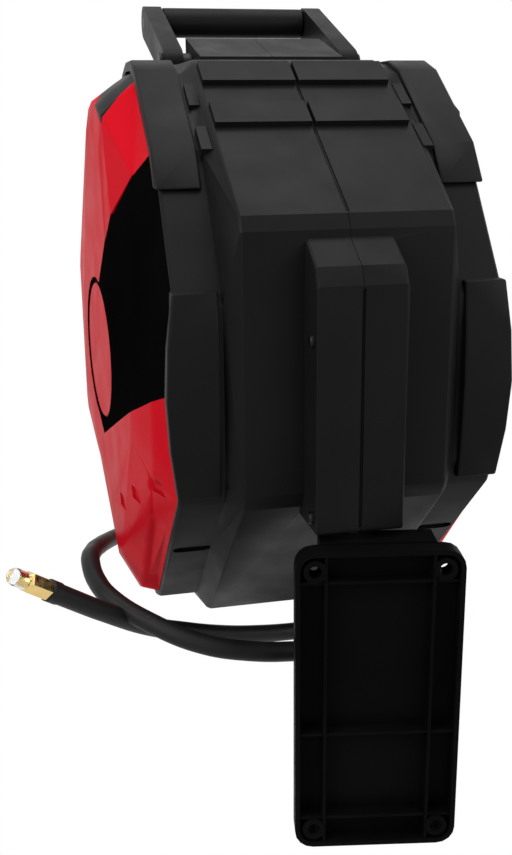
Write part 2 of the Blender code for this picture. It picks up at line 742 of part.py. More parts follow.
def case_holes(side, helper):
    """Cutters for the pivot bore, shaft, hose mouth, screws, handle pin and, on the right, the pawl pin."""
    name = SIDE_NAMES[side] + "_hole"
    both = (-side * 4 * OVERLAP, side * (CASE_HALF + OVERLAP))
    holes = [
        helper("_bore", rod_mesh(name, "Z", BORE_RADIUS, -BOSS_DROP - OVERLAP, BORE_TOP, (*PIVOT, 0))),
        helper("_shaft_hole", rod_mesh(name, "X", SHAFT_RADIUS + GAP, *sorted(both), (0, 0, -DRUM_DROP))),
    ]
    mouth = GUIDE_HALF + GAP
    holes.append(helper("_mouth", box_mesh(
        name, (-mouth, CASE_FRONT - 2 * WALL, MOUTH_Z - mouth), (mouth, CASE_FRONT + WALL, MOUTH_Z + mouth))))
    for i, height in enumerate(BOSS_SCREW_HEIGHTS):
        centre = (0, -CASE_REAR - BOSS_STANDOFF + BOSS_SCREW_DEPTH - SCREW_HEAD_RADIUS, height)
        ends = sorted((-BOSS_HALF - OVERLAP, SCREW_REACH + GAP))
        holes.append(helper(f"_screw_{i + 1}", rod_mesh(name, "X", SCREW_RADIUS + GAP, *ends, centre, 12)))
    pin = span(side, HINGE_HALF - HANDLE_PIN_DEPTH - GAP, HINGE_HALF + OVERLAP)
    centre = (0, HANDLE_Y, HANDLE_Z)
    holes.append(helper("_handle_pin", rod_mesh(name, "X", HANDLE_PIN_RADIUS + GAP, *pin, centre, 24)))
    if side == RIGHT:
        ends = (WEB_INNER - OVERLAP, WEB_OUTER + OVERLAP)
        centre = (0, PAWL_PIVOT_Y, PAWL_PIVOT_Z - DRUM_DROP)
        holes.append(helper("_pawl_pin", rod_mesh(name, "X", PAWL_PIN_RADIUS + GAP, *ends, centre, 16)))
    return holes


def cover_dome(name, side):
    """The domed surface that a side cover and its inlays are cut from."""
    rim = rim_outline(WALL + GAP)
    rows = [at_x(side * (WEB_OUTER + GAP), rim), at_x(side * CASE_HALF, rim)]
    for rise, lean, shares in COVER_RINGS:
        kept = [(y * shares[i // 2], z * shares[i // 2]) for i, (y, z) in enumerate(rim)]
        rows.append([(side * (CASE_HALF + rise + lean * y), y, z) for y, z in kept])
    bm = bmesh.new()
    rings = [[bm.verts.new(point) for point in row] for row in rows]
    count = len(rim)
    for first, second in zip(rings, rings[1:]):
        for i in range(count):
            j = (i + 1) % count
            bm.faces.new((first[i], first[j], second[j], second[i]))
    top = bm.faces.new(rings[-1])
    bmesh.ops.recalc_face_normals(bm, faces=bm.faces)
    if top.normal.x * side < 0:
        bmesh.ops.reverse_faces(bm, faces=bm.faces)
    mesh = bpy.data.meshes.new(name)
    bm.to_mesh(mesh)
    bm.free()
    return mesh


def thicken(obj, thickness, offset):
    """Gives an open surface a wall."""
    wall = obj.modifiers.new("wall", "SOLIDIFY")
    wall.thickness = thickness
    wall.offset = offset
    wall.use_even_offset = True


def rear_inlay_outline():
    """The rear inlay's outline: open to the rear, with a round end about the hub cap."""
    around_hub = arc((0, -DRUM_DROP), HUB_RADIUS + INLAY_MARGIN, INLAY_ROUND_START, INLAY_ROUND_END, 13)
    return [INLAY_REAR_LOW, INLAY_CORNER, *around_hub, INLAY_REAR_HIGH]


def side_panels(side):
    """The red side cover, with its vents, and the two black inlays that fill its cut-outs."""
    word = SIDE_NAMES[side]
    deep = span(side, WEB_OUTER - OVERLAP, COVER_TOP + HUB_DEPTH)
    names = (word + "_side_cover", word + "_rear_inlay", word + "_top_inlay")
    finishes = (COVER_PLASTIC, PANEL_PLASTIC, CASE_PLASTIC)
    panels = [place(n, cover_dome(n, side), reel_axis, f) for n, f in zip(names, finishes)]
    for panel in panels:
        thicken(panel, COVER_WALL, -1.0)
    cover, rear, top = panels
    for panel, outline in ((rear, rear_inlay_outline()), (top, TOP_INLAY_EDGE)):
        window = place(panel.name + "_window", outline_mesh(panel.name, "X", outline, *deep), reel_axis)
        filler = inset(outline, GAP)
        keep = place(panel.name + "_keep", outline_mesh(panel.name, "X", filler, *deep), reel_axis)
        cut(cover, window)
        boolean(panel, keep, "INTERSECT")
    mesh = rod_mesh(word, "X", HUB_RADIUS + HUB_FIT, *deep, (0, 0, -DRUM_DROP), DRUM_SIDES)
    cut(rear, place(word + "_hub_hole", mesh, reel_axis))
    vents = []
    for i, (y, z) in enumerate(VENTS):
        low = (deep[0], y - VENT_WIDTH / 2, z - VENT_HEIGHT / 2)
        high = (deep[1], y + VENT_WIDTH / 2, z + VENT_HEIGHT / 2)
        vents.append(place(f"{word}_vent_{i + 1}", box_mesh(word, low, high), reel_axis))
    join(vents[0], *vents[1:])
    recess = place(word + "_vent_recess", cover_dome(word, side), reel_axis)
    thicken(recess, 2 * VENT_DEPTH, 0.0)
    boolean(recess, vents[0], "INTERSECT")
    cut(cover, recess)


def hub_cap(side):
    """The red cap over the shaft's end, leaning with the dome; the right one has a hole for the air inlet."""
    name = SIDE_NAMES[side] + "_hub_cap"
    has_bore = side == RIGHT
    bore = INLET_HEX_RADIUS + HUB_FIT if has_bore else 0.0
    inner = HUB_RADIUS - HUB_WALL
    profile = [
        (bore, 0), (HUB_RADIUS - HUB_CROWN, 0), (HUB_RADIUS, -HUB_CROWN), (HUB_RADIUS, -HUB_DEPTH),
        (inner, -HUB_DEPTH), (inner, -HUB_WALL), (bore, -HUB_WALL),
    ]
    spot = (side * HUB_TOP, 0, 0)
    cap = turned(name, drum_axis, COVER_PLASTIC, profile, "X", spot, DRUM_SIDES, has_bore, side == LEFT)
    cap.rotation_euler.z = -side * HUB_LEAN


def pivot_parts():
    """The pin in the bracket's knuckle, the two bushes in the boss and the washer that carries the reel."""
    pivot_place = (PIVOT_X, PIVOT_Y, 0)
    low = KNUCKLE_TOP - KNUCKLE_HEIGHT - GAP
    top = AXIS_HEIGHT + PIN_TOP
    profile = (
        (0, top), (PIN_RADIUS, top), (PIN_RADIUS, low), (PIN_HEAD_RADIUS, low),
        (PIN_HEAD_RADIUS, low - PIN_HEAD), (0, low - PIN_HEAD),
    )
    turned("pivot_pin", None, SHAFT_STEEL, profile, "Z", pivot_place)
    inner, outer = PIN_RADIUS + GAP, PIN_RADIUS + GAP + BUSH_WALL
    ends = (KNUCKLE_TOP + GAP, KNUCKLE_TOP + GAP + WASHER)
    ring("thrust_washer", None, SHAFT_STEEL, inner, BUSH_FLANGE_RADIUS, *ends, "Z", pivot_place)
    place_in_reel = (*PIVOT, 0)
    lower = -BOSS_DROP - GAP
    profile = (
        (inner, lower + BUSH_LENGTH), (outer, lower + BUSH_LENGTH), (outer, lower),
        (BUSH_FLANGE_RADIUS, lower), (BUSH_FLANGE_RADIUS, lower - BUSH_FLANGE), (inner, lower - BUSH_FLANGE),
    )
    turned("lower_pivot_bush", reel_axis, BUSH_NYLON, profile, "Z", place_in_reel, closed=True)
    ends = (UPPER_BUSH_TOP - BUSH_LENGTH, UPPER_BUSH_TOP)
    ring("upper_pivot_bush", reel_axis, BUSH_NYLON, inner, outer, *ends, "Z", place_in_reel)


def wall_bracket():
    """The plate that is screwed to the wall, ribbed at the back, with the arm and knuckle of the pivot."""
    def helper(tag, mesh):
        return place("wall_bracket" + tag, mesh, None)

    outer = rounded_rectangle(PLATE_HALF_WIDTH, PLATE_HALF_HEIGHT, PLATE_CORNER)
    inside = (PLATE_HALF_WIDTH - PLATE_RIM, PLATE_HALF_HEIGHT - PLATE_RIM, PLATE_CORNER - PLATE_RIM)
    inner = rounded_rectangle(*inside)
    bracket = place("wall_bracket", outline_mesh("plate", "Y", outer, 0, PLATE_DEPTH), None, CASE_PLASTIC)
    pocket_end = PLATE_DEPTH - PLATE_SKIN
    cut(bracket, helper("_pocket", outline_mesh("pocket", "Y", inner, -OVERLAP, pocket_end)))
    rib_end = pocket_end + PLATE_SKIN / 2
    across, up = PLATE_HALF_WIDTH - PLATE_RIM / 2, PLATE_HALF_HEIGHT - PLATE_RIM / 2
    for i, x in enumerate((-RIB_X, RIB_X)):
        mesh = box_mesh("rib", (x - RIB / 2, RIB_SETBACK, -up), (x + RIB / 2, rib_end, up))
        join(bracket, helper(f"_upright_{i + 1}", mesh))
    for i, z in enumerate(RIB_HEIGHTS):
        mesh = box_mesh("rib", (-across, 2 * RIB_SETBACK, z - RIB / 2), (across, rib_end, z + RIB / 2))
        join(bracket, helper(f"_crossbar_{i + 1}", mesh))
    corners = [(sx * HOLE_X, 0, sz * HOLE_Z) for sx in (-1, 1) for sz in (-1, 1)]
    for i, corner in enumerate(corners):
        mesh = rod_mesh("boss", "Y", HOLE_BOSS_RADIUS, RIB_SETBACK / 2, rib_end, corner, 20)
        join(bracket, helper(f"_boss_{i + 1}", mesh))
    arm = (
        (pocket_end + PLATE_SKIN / 3, KNUCKLE_TOP), (pocket_end + PLATE_SKIN / 3, KNUCKLE_TOP - ARM_HEIGHT),
        (PLATE_DEPTH + GAP, KNUCKLE_TOP - ARM_HEIGHT), (ARM_REACH, KNUCKLE_TOP - ARM_FRONT_HEIGHT),
        (ARM_REACH, KNUCKLE_TOP),
    )
    join(bracket, helper("_arm", outline_mesh("arm", "X", arm, -ARM_HALF_WIDTH, ARM_HALF_WIDTH)))
    low = KNUCKLE_TOP - KNUCKLE_HEIGHT
    neck_low = (PIVOT_X - KNUCKLE_RADIUS, PLATE_DEPTH, low)
    neck_high = (PIVOT_X + KNUCKLE_RADIUS, PIVOT_Y, KNUCKLE_TOP - GAP / 2)
    join(bracket, helper("_neck", box_mesh("neck", neck_low, neck_high)))
    centre = (PIVOT_X, PIVOT_Y, 0)
    mesh = rod_mesh("knuckle", "Z", KNUCKLE_RADIUS + GAP, low - GAP, KNUCKLE_TOP, centre)
    join(bracket, helper("_knuckle", mesh))
    mesh = rod_mesh("bore", "Z", PIN_RADIUS + GAP, low - ARM_HEIGHT, AXIS_HEIGHT, centre)
    cut(bracket, helper("_bore", mesh))
    for i, corner in enumerate(corners):
        mesh = rod_mesh("hole", "Y", HOLE_RADIUS, -OVERLAP, PLATE_DEPTH + OVERLAP, corner, 16)
        cut(bracket, helper(f"_hole_{i + 1}", mesh))


def boss_screws():
    """The two screws that draw the halves of the pivot boss together, heads on the left."""
    for i, height in enumerate(BOSS_SCREW_HEIGHTS):
        head_seat = BOSS_HALF + GAP
        profile = (
            (0, head_seat + SCREW_HEAD), (SCREW_HEAD_RADIUS - SCREW_HEAD_ROUNDING, head_seat + SCREW_HEAD),
            (SCREW_HEAD_RADIUS, head_seat + SCREW_HEAD - SCREW_HEAD_ROUNDING), (SCREW_HEAD_RADIUS, head_seat),
            (SCREW_RADIUS, head_seat), (SCREW_RADIUS, -SCREW_REACH), (0, -SCREW_REACH),
        )
        spot = (0, -CASE_REAR - BOSS_STANDOFF + BOSS_SCREW_DEPTH - SCREW_HEAD_RADIUS, height)
        turned(f"boss_screw_{i + 1}", reel_axis, SHAFT_STEEL, profile, "X", spot, 12, flip=True)


def handle():
    """Two arms on hinge pins, with a grip tube on a rod between their ends."""
    tip = (HANDLE_REACH * math.cos(HANDLE_REST), HANDLE_REACH * math.sin(HANDLE_REST))
    outline = arc((0, 0), ARM_KNUCKLE_RADIUS, HANDLE_REST + math.pi / 2, HANDLE_REST + 3 * math.pi / 2, 13)
    outline += arc(tip, ARM_END_RADIUS, HANDLE_REST - math.pi / 2, HANDLE_REST + math.pi / 2, 13)
    for side in (LEFT, RIGHT):
        word = SIDE_NAMES[side]
        ends = span(side, ARM_INNER, ARM_INNER + ARM_THICKNESS)
        arm = place(f"{word}_handle_arm", outline_mesh("arm", "X", outline, *ends), handle_axis, CASE_PLASTIC)
        through = (ends[0] - OVERLAP, ends[1] + OVERLAP)
        mesh = rod_mesh("hole", "X", HANDLE_PIN_RADIUS + GAP, *through, (0, 0, 0), 24)
        cut(arm, place(f"{word}_arm_pin_hole", mesh, handle_axis))
        mesh = rod_mesh("hole", "X", HANDLE_PIN_RADIUS + GAP, *through, (0, *tip), 24)
        cut(arm, place(f"{word}_arm_rod_hole", mesh, handle_axis))
        handle_pin(side)
    rod_half = ARM_INNER + ARM_THICKNESS
    mesh = rod_mesh("handle_rod", "X", HANDLE_PIN_RADIUS, -rod_half, rod_half, sides=24)
    place("handle_rod", mesh, handle_axis, SHAFT_STEEL, (0, *tip))
    grip_half = ARM_INNER - 2 * GAP
    profile = (
        (HANDLE_PIN_RADIUS + GAP, grip_half), (GRIP_RADIUS - GRIP_ROUNDING, grip_half),
        (GRIP_RADIUS, grip_half - GRIP_ROUNDING), (GRIP_RADIUS, -grip_half + GRIP_ROUNDING),
        (GRIP_RADIUS - GRIP_ROUNDING, -grip_half), (HANDLE_PIN_RADIUS + GAP, -grip_half),
    )
    turned("handle_grip", handle_axis, CASE_PLASTIC, profile, "X", (0, *tip), closed=True)


def handle_pin(side):
    """A shouldered hinge pin in the case, on which a handle arm swings."""
    start = HINGE_HALF - HANDLE_PIN_DEPTH
    shoulder = (HINGE_HALF + GAP, ARM_INNER - GAP)
    head = ARM_INNER + ARM_THICKNESS + GAP
    profile = (
        (0, head + SCREW_HEAD), (SHOULDER_RADIUS, head + SCREW_HEAD), (SHOULDER_RADIUS, head),
        (HANDLE_PIN_RADIUS, head), (HANDLE_PIN_RADIUS, shoulder[1]), (SHOULDER_RADIUS, shoulder[1]),
        (SHOULDER_RADIUS, shoulder[0]), (HANDLE_PIN_RADIUS, shoulder[0]), (HANDLE_PIN_RADIUS, start),
        (0, start),
    )
    name = SIDE_NAMES[side] + "_handle_pin"
    turned(name, reel_axis, SHAFT_STEEL, profile, "X", (0, HANDLE_Y, HANDLE_Z), 16, flip=side == LEFT)


def shaft_parts():
    """The fixed shaft with its air bore, the nuts that hold it and the air inlet on its right end."""
    mesh = rod_mesh("shaft", "X", SHAFT_RADIUS, -SHAFT_END, SHAFT_END)
    shaft = place("shaft", mesh, drum_axis, SHAFT_STEEL)
    mesh = rod_mesh("air_bore", "X", AIR_BORE_RADIUS, UNION_X - NIPPLE_BORE, SHAFT_END + OVERLAP, sides=16)
    cut(shaft, place("shaft_air_bore", mesh, drum_axis))
    mesh = rod_mesh("air_port", "Z", AIR_PORT_RADIUS, 0, SHAFT_RADIUS + OVERLAP, (UNION_X, 0, 0), 12)
    cut(shaft, place("shaft_air_port", mesh, drum_axis))
    for side in (LEFT, RIGHT):
        ends = span(side, WEB_OUTER + GAP, WEB_OUTER + GAP + NUT_HEIGHT)
        name = SIDE_NAMES[side] + "_shaft_nut"
        nut = place(name, rod_mesh(name, "X", NUT_RADIUS, *ends, sides=6), drum_axis, SHAFT_STEEL)
        mesh = rod_mesh(name, "X", SHAFT_RADIUS + GAP, ends[0] - OVERLAP, ends[1] + OVERLAP)
        cut(nut, place(name + "_hole", mesh, drum_axis))
    start = SHAFT_END + GAP
    end = HUB_TOP + INLET_LENGTH
    hex_end = HUB_TOP + INLET_HEX
    inlet = place("air_inlet", rod_mesh("inlet", "X", INLET_RADIUS, start, end), drum_axis, FITTING_BRASS)
    mesh = rod_mesh("inlet_hex", "X", INLET_HEX_RADIUS, HUB_TOP, hex_end, sides=6)
    join(inlet, place("air_inlet_hex", mesh, drum_axis))
    mesh = rod_mesh("inlet_bore", "X", AIR_BORE_RADIUS, start - OVERLAP, end + OVERLAP, sides=16)
    cut(inlet, place("air_inlet_bore", mesh, drum_axis))


def drum():
    """The drum that turns on the shaft: core, flanges, bushes, divider and the air union to the hose."""
    inner = DRUM_RADIUS - DRUM_WALL
    ends = (-DRUM_HALF, DRUM_HALF)
    core = ring("drum_core", drum_axis, CASE_PLASTIC, inner, DRUM_RADIUS, *ends, steps=DRUM_SIDES)
    union_place = (UNION_X, 0, 0)
    ends = (inner / 2, DRUM_RADIUS + OVERLAP)
    mesh = rod_mesh("nipple_hole", "Z", NIPPLE_RADIUS + GAP, *ends, union_place, 16)
    cut(core, place("drum_core_hole", mesh, drum_axis))
    bush_hole = DRUM_BUSH_RADIUS + GAP
    for side in (LEFT, RIGHT):
        word = SIDE_NAMES[side]
        near, far = DRUM_HALF + GAP, FLANGE_OUTER
        profile = (
            (bush_hole, far), (FLANGE_RADIUS - FLANGE, far), (FLANGE_RADIUS, far + FLANGE_LIP),
            (FLANGE_RADIUS, near + FLANGE_LIP), (FLANGE_RADIUS - FLANGE, near), (bush_hole, near),
        )
        name = f"{word}_drum_flange"
        turned(name, drum_axis, CASE_PLASTIC, profile, "X", steps=DRUM_SIDES, closed=True, flip=side == LEFT)
        ends = span(side, far - DRUM_BUSH_LENGTH, far)
        ring(f"{word}_drum_bush", drum_axis, BUSH_NYLON, SHAFT_RADIUS + GAP, DRUM_BUSH_RADIUS, *ends)
    ends = (DIVIDER_X - DIVIDER / 2, DIVIDER_X + DIVIDER / 2)
    ring("drum_divider", drum_axis, CASE_PLASTIC, SHAFT_RADIUS + GAP, inner - GAP, *ends, steps=DRUM_SIDES)
    ends = (UNION_X - UNION_HALF, UNION_X + UNION_HALF)
    union = ring("air_union", drum_axis, FITTING_BRASS, SHAFT_RADIUS + GAP, UNION_RADIUS, *ends)
    port = rod_mesh("port", "Z", NIPPLE_RADIUS + GAP, 0, UNION_RADIUS + OVERLAP, union_place, 16)
    cut(union, place("air_union_port", port, drum_axis))
    ends = (UNION_RADIUS - NIPPLE_DEPTH, DRUM_RADIUS)
    ring("union_nipple", drum_axis, FITTING_BRASS, NIPPLE_BORE, NIPPLE_RADIUS, *ends, "Z", union_place, 16)


def spring_motor():
    """The flat spiral spring in the drum's core and the arbor on the shaft that holds its inner end."""
    ring("spring_arbor", drum_axis, SHAFT_STEEL, SHAFT_RADIUS + GAP, ARBOR_RADIUS, SPRING_LEFT, SPRING_RIGHT)
    half = SPRING_STRIP / 2
    first = ARBOR_RADIUS + GAP + half
    last = DRUM_RADIUS - DRUM_WALL - 2 * GAP - half
    count = SPRING_TURNS * SPRING_POINTS_A_TURN
    outer, inner = [], []
    for i in range(count + 1):
        angle = 2 * math.pi * i / SPRING_POINTS_A_TURN
        middle = first + (last - first) * i / count
        direction = Vector((math.cos(angle), math.sin(angle)))
        outer.append(tuple(direction * (middle + half)))
        inner.append(tuple(direction * (middle - half)))
    mesh = outline_mesh("mainspring", "X", outer + inner[::-1], SPRING_LEFT, SPRING_RIGHT)
    place("mainspring", mesh, drum_axis, SHAFT_STEEL)


def ratchet():
    """The toothed ring on the right flange, and the pawl, its pin and its spring on the case."""
    start = FLANGE_OUTER + GAP
    end = start + RATCHET_WIDTH
    pitch = 2 * math.pi / RATCHET_TEETH
    outline = []
    for i in range(RATCHET_TEETH):
        angle = math.pi / 2 + i * pitch
        for share, radius in RATCHET_TOOTH:
            spot = angle + share * pitch
            outline.append((radius * math.cos(spot), radius * math.sin(spot)))
    gear = place("ratchet_ring", outline_mesh("ratchet", "X", outline, start, end), drum_axis, CASE_PLASTIC)
    bore = rod_mesh("ratchet_bore", "X", RATCHET_BORE, start - OVERLAP, end + OVERLAP, sides=DRUM_SIDES)
    cut(gear, place("ratchet_ring_bore", bore, drum_axis))
    spot = Vector((PAWL_PIVOT_Y, PAWL_PIVOT_Z))
    tip = Vector((0, RATCHET_TIP + PAWL_CLEARANCE)) - spot
    lean = math.atan2(tip.y, tip.x)
    outline = arc((0, 0), PAWL_HUB_RADIUS, lean + math.pi / 3, lean + 5 * math.pi / 3, 11)
    half = PAWL_TIP_WIDTH / 2
    outline += [(tip.x - half, tip.y + PAWL_TIP_WIDTH), (tip.x - half, tip.y), (tip.x + half, tip.y)]
    place_x = (0, PAWL_PIVOT_Y, PAWL_PIVOT_Z)
    pawl = place("pawl", outline_mesh("pawl", "X", outline, start, end), drum_axis, SHAFT_STEEL, place_x)
    hole = rod_mesh("pawl_hole", "X", PAWL_PIN_RADIUS + GAP, start - OVERLAP, end + OVERLAP, sides=16)
    cut(pawl, place("pawl_pin_hole", hole, drum_axis, None, place_x))
    mesh = rod_mesh("pawl_pin", "X", PAWL_PIN_RADIUS, start, WEB_OUTER - GAP, sides=16)
    place("pawl_pin", mesh, drum_axis, SHAFT_STEEL, place_x)
    low, high = end + GAP + PAWL_SPRING_WIRE, WEB_INNER - GAP - PAWL_SPRING_WIRE
    radius = PAWL_PIN_RADIUS + PAWL_SPRING_WIRE + 2 * GAP
    points = []
    count = PAWL_SPRING_TURNS * PAWL_SPRING_POINTS
    for i in range(count + 1):
        angle = 2 * math.pi * i / PAWL_SPRING_POINTS
        x = low + (high - low) * i / count
        points.append((x, radius * math.cos(angle), radius * math.sin(angle)))
    tube("pawl_spring", points, PAWL_SPRING_WIRE, drum_axis, SHAFT_STEEL, 1, place_x)


def tube(name, points, radius, parent, finish, resolution, location=(0, 0, 0)):
    """A round tube along points, with flat filled ends."""
    curve = bpy.data.curves.new(name, "CURVE")
    curve.dimensions = "3D"
    curve.bevel_depth = radius
    curve.bevel_resolution = resolution
    curve.use_fill_caps = True
    spline = curve.splines.new("POLY")
    spline.points.add(len(points) - 1)
    for spot, point in zip(spline.points, points):
        spot.co = (*point, 1.0)
    curve.materials.append(finish)
    obj = bpy.data.objects.new(name, curve)
    PARTS.objects.link(obj)
    obj.parent = parent
    obj.location = location
    return obj


def smooth_route(points, step):
    """Points a step apart on a smooth curve through the given ones."""
    padded = [2 * points[0] - points[1], *points, 2 * points[-1] - points[-2]]
    fine = []
    for i in range(1, len(padded) - 2):
        p0, p1, p2, p3 = padded[i - 1:i + 3]
        for k in range(20):
            t = k / 20
            fine.append(0.5 * (2 * p1 + (p2 - p0) * t + (2 * p0 - 5 * p1 + 4 * p2 - p3) * t ** 2
                               + (3 * p1 - p0 - 3 * p2 + p3) * t ** 3))
    fine.append(points[-1])
    lengths = [0.0]
    for first, second in zip(fine, fine[1:]):
        lengths.append(lengths[-1] + (second - first).length)
    count = max(2, round(lengths[-1] / step))
    made, at = [], 0
    for i in range(count + 1):
        wanted = lengths[-1] * i / count
        while at < len(fine) - 2 and lengths[at + 1] < wanted:
            at += 1
        share = (wanted - lengths[at]) / max(lengths[at + 1] - lengths[at], 1e-9)
        made.append(fine[at].lerp(fine[at + 1], min(max(share, 0.0), 1.0)))
    return made, lengths[-1]


def least_gap(points, diameter, skip):
    """The smallest space between turns of one tube, measured on its points."""
    least = min(
        (points[i] - points[j]).length for i in range(len(points)) for j in range(i + skip, len(points))
    )
    return least - diameter


def hose_on_drum():
    """The inner layer as a plain ring, the outer layer as turns, and the lead to the mouth."""
    low, high = DRUM_RADIUS + 2 * GAP, DRUM_RADIUS + 2 * GAP + INNER_LAYER
    ends = (-DRUM_HALF + GAP, DRUM_HALF - GAP)
    ring("hose_inner_layer", drum_axis, HOSE_RUBBER, low, high, *ends, steps=DRUM_SIDES)
    radius = high + HOSE_RADIUS + LAYER_SPACE
    count = round(WINDING_TURNS * POINTS_A_TURN)
    points = []
    for i in range(count + 1):
        angle = 2 * math.pi * i / POINTS_A_TURN
        x = -WINDING_HALF + 2 * WINDING_HALF * i / count
        points.append(Vector((x, radius * math.cos(angle), radius * math.sin(angle))))
    tube("hose_winding", points, HOSE_RADIUS, drum_axis, HOSE_RUBBER, 1)
    print(f"hose_winding least gap {least_gap(points, 2 * HOSE_RADIUS, POINTS_A_TURN // 2) / MM:.2f} mm")
    lead_radius = radius + 2 * HOSE_RADIUS + 2 * LAYER_SPACE
    wrap = []
    for i in range(LEAD_STEPS + 1):
        angle = LEAD_START + (LEAD_END - LEAD_START) * i / LEAD_STEPS
        wrap.append(Vector((LEAD_X, lead_radius * math.cos(angle), lead_radius * math.sin(angle))))
    mouth = Vector((0, CASE_FRONT - HOSE_END_SPACE, MOUTH_Z + DRUM_DROP))
    entry = Vector((0, GUIDE_REAR, MOUTH_Z + DRUM_DROP))
    approach = entry - Vector((0, 3 * HOSE_RADIUS, 0))
    run = [wrap[-1].lerp(approach, share) for share in LEAD_RUN]
    lead = wrap + run + [approach, entry, (entry + mouth) / 2, mouth]
    points, _ = smooth_route(lead, LEAD_POINT_STEP)
    tube("hose_lead", points, HOSE_RADIUS, drum_axis, HOSE_RUBBER, 2)


def hose_guide():
    """The frame of the hose mouth with two level and two upright rollers on pins."""
    def helper(tag, mesh):
        return place("hose_guide" + tag, mesh, reel_axis)

    middle = Vector((0, 0, MOUTH_Z))
    half = GUIDE_HALF

    def frame_box(reach, start, end):
        low = middle + Vector((-reach, start, -reach))
        high = middle + Vector((reach, end, reach))
        return box_mesh("guide", low, high)

    frame = place("hose_guide", frame_box(half, GUIDE_REAR, GUIDE_FRONT - GAP), reel_axis, CASE_PLASTIC)
    join(frame, helper("_flange", frame_box(half + GUIDE_FLANGE, CASE_FRONT + GAP, GUIDE_FRONT)))
    cut(frame, helper("_opening", frame_box(MOUTH_HALF, GUIDE_REAR - OVERLAP, GUIDE_FRONT + OVERLAP)))
    level_y = GUIDE_REAR + ROLLER_SETBACK
    upright_y = level_y + 2 * ROLLER_RADIUS + 2 * GAP
    for word, axis, depth in (("level", "X", level_y), ("upright", "Z", upright_y)):
        for number, sign in ((1, -1), (2, 1)):
            offset = sign * ROLLER_OFFSET
            spot = middle + (Vector((0, depth, offset)) if axis == "X" else Vector((offset, depth, 0)))
            reach = half - GAP
            hole = rod_mesh("hole", axis, ROLLER_PIN_RADIUS + GAP, -half - OVERLAP, half + OVERLAP, spot, 12)
            cut(frame, helper(f"_{word}_hole_{number}", hole))
            pin = rod_mesh("pin", axis, ROLLER_PIN_RADIUS, -reach, reach, sides=12)
            place(f"{word}_roller_pin_{number}", pin, reel_axis, SHAFT_STEEL, spot)
            ends = (-MOUTH_HALF + GAP, MOUTH_HALF - GAP)
            bore = ROLLER_PIN_RADIUS + GAP
            ring(f"{word}_roller_{number}", reel_axis, BUSH_NYLON, bore, ROLLER_RADIUS, *ends, axis, spot, 20)


def free_hose():
    """The hose outside the case, with its stop ball and the fitting on its end."""
    points = [Vector(point) * MM for point in FREE_ROUTE]
    route, length = smooth_route(points, HOSE_POINT_STEP)
    tube("free_hose", route, HOSE_RADIUS, reel_axis, HOSE_RUBBER, 3)
    space = least_gap(route, 2 * HOSE_RADIUS, 6)
    print(f"free_hose length {length / MM:.0f} mm, least gap {space / MM:.1f} mm")
    stop_y = GUIDE_FRONT + math.sqrt((STOP_RADIUS + GAP) ** 2 - MOUTH_HALF ** 2)
    bm = bmesh.new()
    bmesh.ops.create_uvsphere(bm, u_segments=16, v_segments=8, radius=STOP_RADIUS)
    ball = place("hose_stop", mesh_from(bm, "ball"), reel_axis, HOSE_RUBBER, (0, stop_y, MOUTH_Z))
    hole = rod_mesh("hole", "Y", HOSE_RADIUS + 3 * GAP, -2 * STOP_RADIUS, 2 * STOP_RADIUS, sides=24)
    cut(ball, place("hose_stop_hole", hole, reel_axis, None, (0, stop_y, MOUTH_Z)))
    end_fitting(route[-1], (route[-1] - route[-2]).normalized())


def end_fitting(end, direction):
    """Ferrule, brass hexagon with its tail and thread, and the clear cap, in line with the hose's end."""
    line = empty("hose_end", reel_axis, end)
    line.rotation_mode = "QUATERNION"
    line.rotation_quaternion = direction.to_track_quat("Z", "Y")
    ferrule_end = GAP + FERRULE_LENGTH
    profile = (
        (TAIL_RADIUS + GAP, ferrule_end), (FERRULE_RADIUS - FERRULE_ROUNDING, ferrule_end),
        (FERRULE_RADIUS, ferrule_end - FERRULE_ROUNDING), (FERRULE_RADIUS, GAP), (TAIL_RADIUS + GAP, GAP),
    )
    turned("hose_ferrule", line, HOSE_RUBBER, profile, steps=20, closed=True)
    hex_start = ferrule_end + GAP
    hex_end = hex_start + HEX_LENGTH
    thread_end = hex_end + THREAD_LENGTH
    profile = (
        (AIR_BORE_RADIUS, thread_end), (THREAD_RADIUS, thread_end), (THREAD_RADIUS, hex_end - HEX_CHAMFER),
        (TAIL_RADIUS, hex_end - HEX_CHAMFER), (TAIL_RADIUS, GAP), (AIR_BORE_RADIUS, GAP),
    )
    fitting = turned("end_fitting", line, FITTING_BRASS, profile, closed=True)
    profile = (
        (AIR_BORE_RADIUS + GAP, hex_end), (HEX_RADIUS - HEX_CHAMFER, hex_end),
        (HEX_RADIUS, hex_end - HEX_CHAMFER), (HEX_RADIUS, hex_start), (AIR_BORE_RADIUS + GAP, hex_start),
    )
    join(fitting, turned("end_fitting_hexagon", line, None, profile, steps=6, closed=True))
    cap_start = hex_end + GAP
    cap_floor = cap_start + CAP_BORE_DEPTH
    cap_shoulder = cap_start + CAP_LENGTH - CAP_RADIUS
    rounding = arc((0, cap_shoulder), CAP_RADIUS, math.pi / 2, 0, CAP_ROUND_STEPS)
    profile = (
        (0, cap_shoulder + CAP_RADIUS), *rounding[1:], (CAP_RADIUS, cap_start),
        (THREAD_RADIUS + GAP, cap_start), (THREAD_RADIUS + GAP, cap_floor), (0, cap_floor),
    )
    turned("thread_cap", line, CAP_CLEAR, profile, steps=24)


wall_bracket()
pivot_parts()
for half_side in (LEFT, RIGHT):
    case_half(half_side)
    side_panels(half_side)
    hub_cap(half_side)
boss_screws()
handle()
shaft_parts()
drum()
spring_motor()
ratchet()
hose_on_drum()
hose_guide()
free_hose()
bpy.context.view_layer.update()
